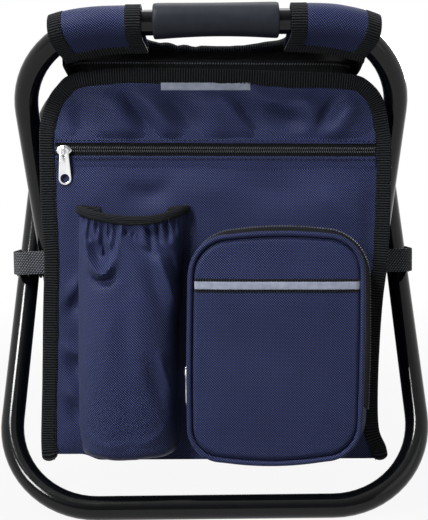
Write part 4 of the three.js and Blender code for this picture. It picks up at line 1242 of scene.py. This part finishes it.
# Bottle pocket: full below, gathered into its elastic above; its sides as (x, z) and its creases
BOTTLE_LEFT = [(-105.5, 52), (-107.8, 76), (-107.4, 110), (-106.2, 180), (-105.2, 222), (-104.4, 247)]
BOTTLE_RIGHT = [(-29.8, 52), (-28.9, 76), (-28.9, 98), (-27.6, 154), (-24.4, 185), (-23.4, 215), (-20, 247)]
BOTTLE_LOW, BOTTLE_HIGH = 59, 247.5
BOTTLE_CREASES = [Crease(*c) for c in (
    (((-99, 244), (-99.5, 232)), 1.9, -2.4), (((-94.5, 243), (-95.5, 224)), 2.0, -2.8),
    (((-89, 242), (-89, 228)), 1.9, -2.2), (((-84, 241), (-85, 230), (-83, 212)), 2.4, -3.4),
    (((-79.6, 240), (-79, 224)), 1.8, -2.0), (((-74.5, 240), (-74.5, 226), (-77, 206)), 2.6, -3.4),
    (((-66.5, 239), (-66, 228)), 1.9, -2.2), (((-62, 239), (-61, 226)), 1.8, -2.4),
    (((-58, 236), (-56, 222)), 2.2, -1.6), (((-50, 238), (-46, 216)), 2.2, -2.6),
    (((-65, 230), (-57, 219), (-45, 211)), 3.4, -2.0), (((-52, 236), (-43, 226), (-36, 213)), 3.0, -1.6),
    (((-43, 241), (-40.5, 224)), 1.9, -2.4), (((-37, 243), (-33, 222)), 2.1, -2.8),
    (((-31, 244), (-28, 228)), 1.8, -2.2), (((-26, 245), (-24, 226)), 1.9, -2.4),
    (((-100, 226), (-96, 208), (-87, 197), (-79, 201), (-75, 216), (-73, 230)), 3.2, 3.0),
    (((-93, 222), (-87, 209), (-82, 214)), 5.0, -4.0), (((-94, 193), (-86, 190), (-76, 193)), 3.5, -2.2),
    (((-41, 208), (-34, 190), (-26, 166)), 3.0, 2.8), (((-34, 212), (-28, 192), (-23, 172)), 4.0, -2.4),
    (((-49, 204), (-43, 182), (-36, 160)), 6.0, -2.0), (((-42, 134), (-37, 118), (-31, 98)), 2.6, 1.9),
    (((-50, 128), (-44, 108), (-38, 90)), 5.5, -2.0), (((-33, 128), (-30, 112)), 3.5, -1.6),
    (((-66, 195), (-68, 130), (-66, 76)), 9, -0.6), (((-98, 70), (-84, 62), (-66, 64)), 3, 0.5),
    (((-60, 62), (-46, 68), (-38, 78)), 3, 0.5))]
BOTTLE_SEAM_Y = FRONT_Y - 1.2
BOTTLE_SQUARE = 0.76
BOTTLE_DEPTH, BOTTLE_BELLY = 28, 9

# Where along the rim its middle hangs lowest, and by how much; the share of the cloth that makes the foot
RIM_LOW, RIM_DIP = 0.57, 8.8
BOTTLE_FOOT, FOOT_DROP, FOOT_TURN = 0.09, 11, 0.9


def bottle_place(s, t):
    z = BOTTLE_LOW + (BOTTLE_HIGH - BOTTLE_LOW) * t
    left, right = level(BOTTLE_LEFT, z), level(BOTTLE_RIGHT, z)
    angle = math.pi * (1 - s)
    x = (left + right) / 2 + (right - left) / 2 * signed_power(math.cos(angle), BOTTLE_SQUARE)
    bulge = abs(math.sin(angle)) ** BOTTLE_SQUARE
    belly = BOTTLE_BELLY * math.sin(math.pi * min(1, 1.1 * t + 0.1))
    depth = (BOTTLE_DEPTH + belly) * (1 - 0.18 * ease(t, 0.82, 1.0))
    soft = 1.3 * wander(x + 0.35 * z, z * 0.4, 22, 84) + 0.6 * wander(x, z, 30, 85) + 0.3 * wander(x, z, 9, 86)
    fold = creased(BOTTLE_CREASES, x, z) + soft * ease(t, 0.0, 0.1)
    share = (x - left) / (right - left) - RIM_LOW
    dip = 1 - (share / (RIM_LOW if share < 0 else 1 - RIM_LOW)) ** 2
    return Vector((x, BOTTLE_SEAM_Y - (depth + fold) * bulge, z - RIM_DIP * dip * t ** 6))


def bottle_cloth_place(s, t):
    """The pocket's wall, closed below by a rounded foot that is sewn to the panel."""
    if t >= BOTTLE_FOOT:
        return bottle_place(s, (t - BOTTLE_FOOT) / (1 - BOTTLE_FOOT))
    rim = bottle_place(s, 0.0)
    turn = -FOOT_TURN + (math.pi / 2 + FOOT_TURN) * t / BOTTLE_FOOT
    drop = (FOOT_DROP + 1.6 * wander(rim.x, 0, 16, 87)) * math.sin(math.pi * min(max(s, 0.02), 0.98)) ** 0.45
    y = BOTTLE_SEAM_Y + (rim.y - BOTTLE_SEAM_Y) * (0.45 + 0.55 * math.sin(turn))
    return Vector((rim.x, y, rim.z - drop * math.cos(turn) ** 0.8))


sew("bottle_pocket_cloth", (110, 120), bottle_cloth_place, LIGHT_T, NAVY_TWILL, "bag", "bottle_pocket",
    even=True)

# Rolled binding on the elastic rim, with both ends turned back on the panel
RIM = Line([(-88, -108.9, 245.6), (-97, -109, 246.8), (-103, -109.6, 247.4), (-105.2, -112.5, 247.3)]
           + [tuple(bottle_place(k / 20, 1.0)) for k in range(3, 18)]
           + [(-18.8, -112.5, 246.6), (-21, -109.6, 246.8), (-27, -109, 246), (-35, -108.9, 244.8)], rounding=6)
RIM_THICK, RIM_TALL, RIM_BELOW = 1.7, 3.6, 2.9


def rim_place(s, t):
    angle, run = 2 * math.pi * t, s * RIM.length
    thick = RIM_THICK * (1 + 0.12 * wander(run, 0, 6, 91))
    tall = RIM_TALL * (1 + 0.06 * wander(run, 5, 9, 92))
    up = Vector((0, 0, tall * math.sin(angle) - RIM_BELOW))
    return RIM.at(s) + sideways(RIM, s) * (thick * math.cos(angle)) + up


rim = lay_cloth("bottle_pocket_rim", (130, 16), rim_place)
turned_weave(rim)
weld(rim)
edit_all(rim, bpy.ops.mesh.fill_holes, sides=30)
face_out(rim)
done(rim, ELASTIC_WEAVE, "bag", "bottle_pocket_elastic")
rim_seam = Line([bottle_place(k / 60, 0.962) + Vector((0, -1.35, 0)) for k in range(4, 57)], rounding=3)
stitching("bottle_rim_stitches", [rim_seam], BLACK_THREAD, "bag", pitch=2.7, length=2.0, radius=0.65)

POCKET_MIDDLE_Z = 137


# Zipped pocket: outline of its front and of its back, with the tilt of the bag
def rounded_box(left, right, low, high, r_low, r_high, bows, drift):
    """A closed outline with round corners and slightly bowed sides: (right, top, left, bottom)."""
    bends = [(right - r_high, high - r_high, r_high, 0), (left + r_high, high - r_high, r_high, 90),
             (left + r_low, low + r_low, r_low, 180), (right - r_low, low + r_low, r_low, 270)]
    corners = [arc((cx, cz), r, first, first + 91) for cx, cz, r, first in bends]
    ways = [(0, bows[1]), (-bows[2], 0), (0, -bows[3]), (bows[0], 0)]
    points = []
    for k, corner in enumerate(corners):
        points += corner
        (x0, z0), (x1, z1) = corner[-1], corners[(k + 1) % 4][0]
        for u in (0.2, 0.4, 0.6, 0.8):
            bow = 1 - (2 * u - 1) ** 2
            points.append((x0 + (x1 - x0) * u + ways[k][0] * bow, z0 + (z1 - z0) * u + ways[k][1] * bow))
    return Line([(x + drift * (z - POCKET_MIDDLE_Z), z) for x, z in points], closed=True, rounding=3)


POCKET_FRONT = rounded_box(-18.4, 113.4, 50.0, 223.4, 27, 29, (0.8, 2.0, 0.8, 3.0), 0.02)
POCKET_BACK = rounded_box(-18.6, 120.4, 48.0, 226.8, 30, 37, (1.0, 2.0, 0.6, 0.5), 0.014)
OPEN_Y = -121
FACE_Y = -137.0
TAPE_BACK_Y, TAPE_FRONT_Y = -112.4, -136.4

# The zip covers the top and most of both sides: from the right foot of the zip over the top to the left
ZIP_FOOT_Z = 92
ZIP_F0 = edge_share(POCKET_FRONT, 115, ZIP_FOOT_Z) - 1.0
ZIP_F1 = edge_share(POCKET_FRONT, -18, ZIP_FOOT_Z)


def pocket_at(share, y, grow=0.0):
    """A point of the pocket's wall at a share of its outline and a depth: straight, then drawn in."""
    u = min(1.0, max(0.0, (OPEN_Y - y) / (OPEN_Y - FACE_Y)))
    point = POCKET_BACK.at(share).lerp(POCKET_FRONT.at(share), u)
    along = POCKET_FRONT.heading(share)
    return Vector((point.x + along.y * grow, y, point.y - along.x * grow))


def zip_share(s):
    return (ZIP_F0 + (ZIP_F1 - ZIP_F0) * s) % 1.0


def wall(name, y0, y1, body, node, bow):
    wrap = lay_cloth(name, (180, 8), lambda s, t: pocket_at(
        s % 1.0, y0 + (y1 - y0) * t, bow * math.sin(math.pi * t)))
    weld(wrap)
    thicken(wrap, SHELL_T)
    done(wrap, NAVY_TWILL, body, node)


def zip_wall(name, y0, y1, grow, body, node=None):
    sew(name, (130, 4), lambda s, t: pocket_at(zip_share(s), y0 + (y1 - y0) * t, grow),
        0.8, ZIP_WEAVE, body, node, rounded=0.2)


def pocket_coil(label, y, body, row):
    line = Line([pocket_at(zip_share(k / 160), y, 1.3) for k in range(161)], rounding=2)

    def outward(share):
        along = line.heading(share)
        return Vector((along.z, 0, -along.x)).normalized()

    coil(f"pocket_zip_coil_{label}", line, outward, body, pitch=2.1, across=0, lift=0.25, rows=(row,),
         size=(0.5, 1.15, 0.65))


wall("pocket_base_wall", FRONT_Y - 0.4, OPEN_Y + 0.4, "bag", "pocket_base", 0.4)
wall("pocket_flap_wall", OPEN_Y - 0.4, FACE_Y - 0.4, "pocket_flap", "flap_wall", 0.5)
zip_wall("pocket_zip_tape_inner", TAPE_BACK_Y, OPEN_Y + 0.2, 1.0, "bag", "pocket_zip_tape")
zip_wall("pocket_zip_tape_outer", OPEN_Y - 0.2, TAPE_FRONT_Y, 1.1, "pocket_flap")
pocket_coil("inner", OPEN_Y + 1.0, "bag", 1)
pocket_coil("outer", OPEN_Y - 1.0, "pocket_flap", -1)


class OutlineByAngle:
    """Where a ray from a middle meets an outline round it."""

    def __init__(self, outline, middle):
        table = sorted((math.atan2(p.y - middle.y, p.x - middle.x), p) for p in
                       (outline.at(k / 720) for k in range(720)))
        self.angles, self.points = zip(*table)

    def at(self, angle):
        if not self.angles[0] < angle < self.angles[-1]:
            return self.points[0]
        k = bracket(self.angles, angle)
        a0, a1 = self.angles[k], self.angles[k + 1]
        return self.points[k].lerp(self.points[k + 1], (angle - a0) / (a1 - a0) if a1 > a0 else 0.0)


# Front face of the zipped pocket, softly crowned and sunk at its edge, with piping round it
FACE_MIDDLE = Vector((48.5, 136.6))
FACE_SHARE = 0.975
FACE_HALF = (66.5, 89)
FACE_CROWN, FACE_SUNK = 1.9, 2.4
PIPING_R = 2.0
FACE_RAYS = OutlineByAngle(POCKET_FRONT, FACE_MIDDLE)


def face_depth(x, z):
    way = Vector((x, z)) - FACE_MIDDLE
    edge = (FACE_RAYS.at(math.atan2(way.y, way.x)) - FACE_MIDDLE).length
    gap = edge * FACE_SHARE - way.length
    crown = ease(gap, 2, 40) * (FACE_CROWN + 0.8 * wander(x, z, 46, 101) + 0.3 * wander(x, z, 16, 102))
    return FACE_Y - 0.9 + FACE_SUNK * math.exp(-(max(gap, 0) / 2.2) ** 2) - crown


def face_place(s, t):
    """A square sheet drawn out to the pocket's rounded outline."""
    a, b = 2 * s - 1, 2 * t - 1
    outline = FACE_RAYS.at(math.atan2(b * FACE_HALF[1], a * FACE_HALF[0]))
    x, z = FACE_MIDDLE.lerp(outline, max(abs(a), abs(b)) * FACE_SHARE)
    return Vector((x, face_depth(x, z), z))


def piping_place(s, t):
    angle = 2 * math.pi * t
    point = pocket_at((1 - s) % 1.0, FACE_Y - 0.4, -0.2 + PIPING_R * math.cos(angle))
    return point - Vector((0, PIPING_R * math.sin(angle), 0))


sew("pocket_flap_face", (92, 110), face_place, SHELL_T, NAVY_TWILL, "pocket_flap", "flap_face",
    weave=flat_weave)
piping = lay_cloth("pocket_flap_piping", (200, 12), piping_place)
flat_weave(piping)
weld(piping)
face_out(piping)
done(piping, NAVY_TWILL, "pocket_flap", "flap_piping")

# Ribbon with its reflective band across the pocket
RIBBON_LEFT, RIBBON_LONG, RIBBON_Z = -14.2, 127, 185.7


def strip_on_face(name, width, lift, material, node, thick):
    def place(s, t):
        x = RIBBON_LEFT + RIBBON_LONG * s
        z = RIBBON_Z + TAPE_TILT * (x - 49) + width * (t - 0.5)
        return Vector((x, face_depth(x, z) - lift, z))

    sew(name, (60, 4), place, thick, material, "pocket_flap", node, 0.15)


strip_on_face("pocket_ribbon", 10.2, 0.7, BLACK_GROSGRAIN, "flap_ribbon", 0.7)
strip_on_face("pocket_reflective_band", 5.9, 1.2, SILVER_TAPE, "flap_reflective_band", 0.5)

# Webbing loops round the crossing of the tubes, each sewn to its gusset
LOOP_OUTER, LOOP_HALF, LOOP_R = 178.9, 25.4, 14
LOOP_TALL = 20.4
LOOP_SEWN = GUSSET_X + 1.0


def loop_line(side):
    bend = arc((LOOP_OUTER - LOOP_R, LOOP_R - LOOP_HALF), LOOP_R, -75, 1)
    leg = [(LOOP_SEWN, -40), (LOOP_SEWN, -34), (LOOP_SEWN + 0.4, -28.5), (LOOP_SEWN + 3, -LOOP_HALF - 0.6),
           (LOOP_SEWN + 9, -LOOP_HALF - 0.4), (150, -LOOP_HALF), (LOOP_OUTER - LOOP_R, -LOOP_HALF)]
    return Line([(side * x, y) for x, y in mirrored(leg + bend, (LOOP_OUTER, 0), axis=1)], rounding=5)


def side_loop(label, side, rise):
    line = loop_line(side)

    def place(s, t):
        share = s if side > 0 else 1 - s
        x, y = line.at(share)
        slack = math.sin(math.pi * share) * (0.5 + 0.5 * math.sin(x * 0.1))
        return Vector((x, y, PIVOT_Z + rise + (t - 0.5) * LOOP_TALL - slack))

    sew(f"side_loop_{label}_webbing", (110, 6), place, LIGHT_T, BLACK_WEBBING, "side_loops",
        f"side_loop_{label}", rounded=0.3)


side_loop("left", -1, 8.2)
side_loop("right", 1, 6.6)

# Lamps: place, size in metres and power in watts, all aimed at the bag
LAMP_AIM = Vector((0, 0, 0.2))
LAMPS = {
    "high_softbox": ((-0.75, -0.95, 1.75), (0.45, 0.45), 36),
    "low_softbox": ((-1.0, -1.35, 0.85), (0.4, 0.4), 19),
    "fill_softbox": ((1.3, -1.3, 0.6), (1.0, 1.0), 3),
    "top_softbox": ((0.2, 0.6, 1.8), (1.2, 0.8), 11),
    "rear_softbox": ((0.9, 1.5, 0.9), (0.6, 0.6), 16)}
WHITE = (1, 1, 1, 1)
FLOOR_GAP = 0.0003
ROOM_LIGHT = 0.1


# Pale floor: grey to the light that falls on it, near white to the eye and in gloss
def set_floor():
    floor = start("pale_floor", bpy.ops.mesh.primitive_plane_add, size=12, location=(0, 0, -FLOOR_GAP))
    material, tree, shader, place = new_material("pale_floor", Roughness=0.9, Specular_IOR_Level=0.1)
    shader.inputs["Base Color"].default_value = linear("7c7c7c")
    path = add(tree, "ShaderNodeLightPath").outputs
    seen = combine(tree, "MAXIMUM", path["Is Camera Ray"], path["Is Glossy Ray"])
    far = add(tree, "ShaderNodeVectorMath", {0: place["Object"]}, operation="LENGTH").outputs["Value"]
    shown = combine(tree, "MULTIPLY", seen, spread(tree, far, 0.92, 1.0, 0.4, 1.4))
    glow = add(tree, "ShaderNodeEmission", {"Color": WHITE, "Strength": 1.0})
    mix = add(tree, "ShaderNodeMixShader", {0: shown, 1: shader.outputs[0], 2: glow.outputs[0]})
    tree.links.new(mix.outputs[0], tree.nodes["Material Output"].inputs["Surface"])
    floor.data.materials.append(material)


# White all round to the eye; to gloss, the room on the camera's side is dimmer than the backdrop
def set_background():
    world = bpy.data.worlds.new("studio")
    bpy.context.scene.world = world
    world.use_nodes = True
    tree = world.node_tree
    path = add(tree, "ShaderNodeLightPath").outputs
    way = add(tree, "ShaderNodeSeparateXYZ", {"Vector": add(tree, "ShaderNodeTexCoord").outputs["Generated"]})
    room = spread(tree, way.outputs["Y"], 0.2, 1.0, -0.9, -0.2)
    gloss = combine(tree, "MAXIMUM", path["Is Glossy Ray"], path["Is Transmission Ray"])
    seen = combine(tree, "MAXIMUM", combine(tree, "MULTIPLY", gloss, room), path["Is Camera Ray"])
    background = tree.nodes["Background"]
    tree.links.new(combine(tree, "MAXIMUM", seen, ROOM_LIGHT), background.inputs["Strength"])
    background.inputs["Color"].default_value = WHITE


def set_lamps():
    for name, (place, size, power) in LAMPS.items():
        light = bpy.data.lights.new(name, "AREA")
        light.shape = "RECTANGLE"
        light.size, light.size_y = size
        light.energy = power
        holder = bpy.data.objects.new(name, light)
        bpy.context.scene.collection.objects.link(holder)
        turn = (LAMP_AIM - Vector(place)).to_track_quat("-Z", "Y").to_matrix().to_4x4()
        holder.matrix_world = Matrix.Translation(place) @ turn


set_floor()
set_background()
set_lamps()
bpy.context.scene.view_settings.view_transform = "Standard"
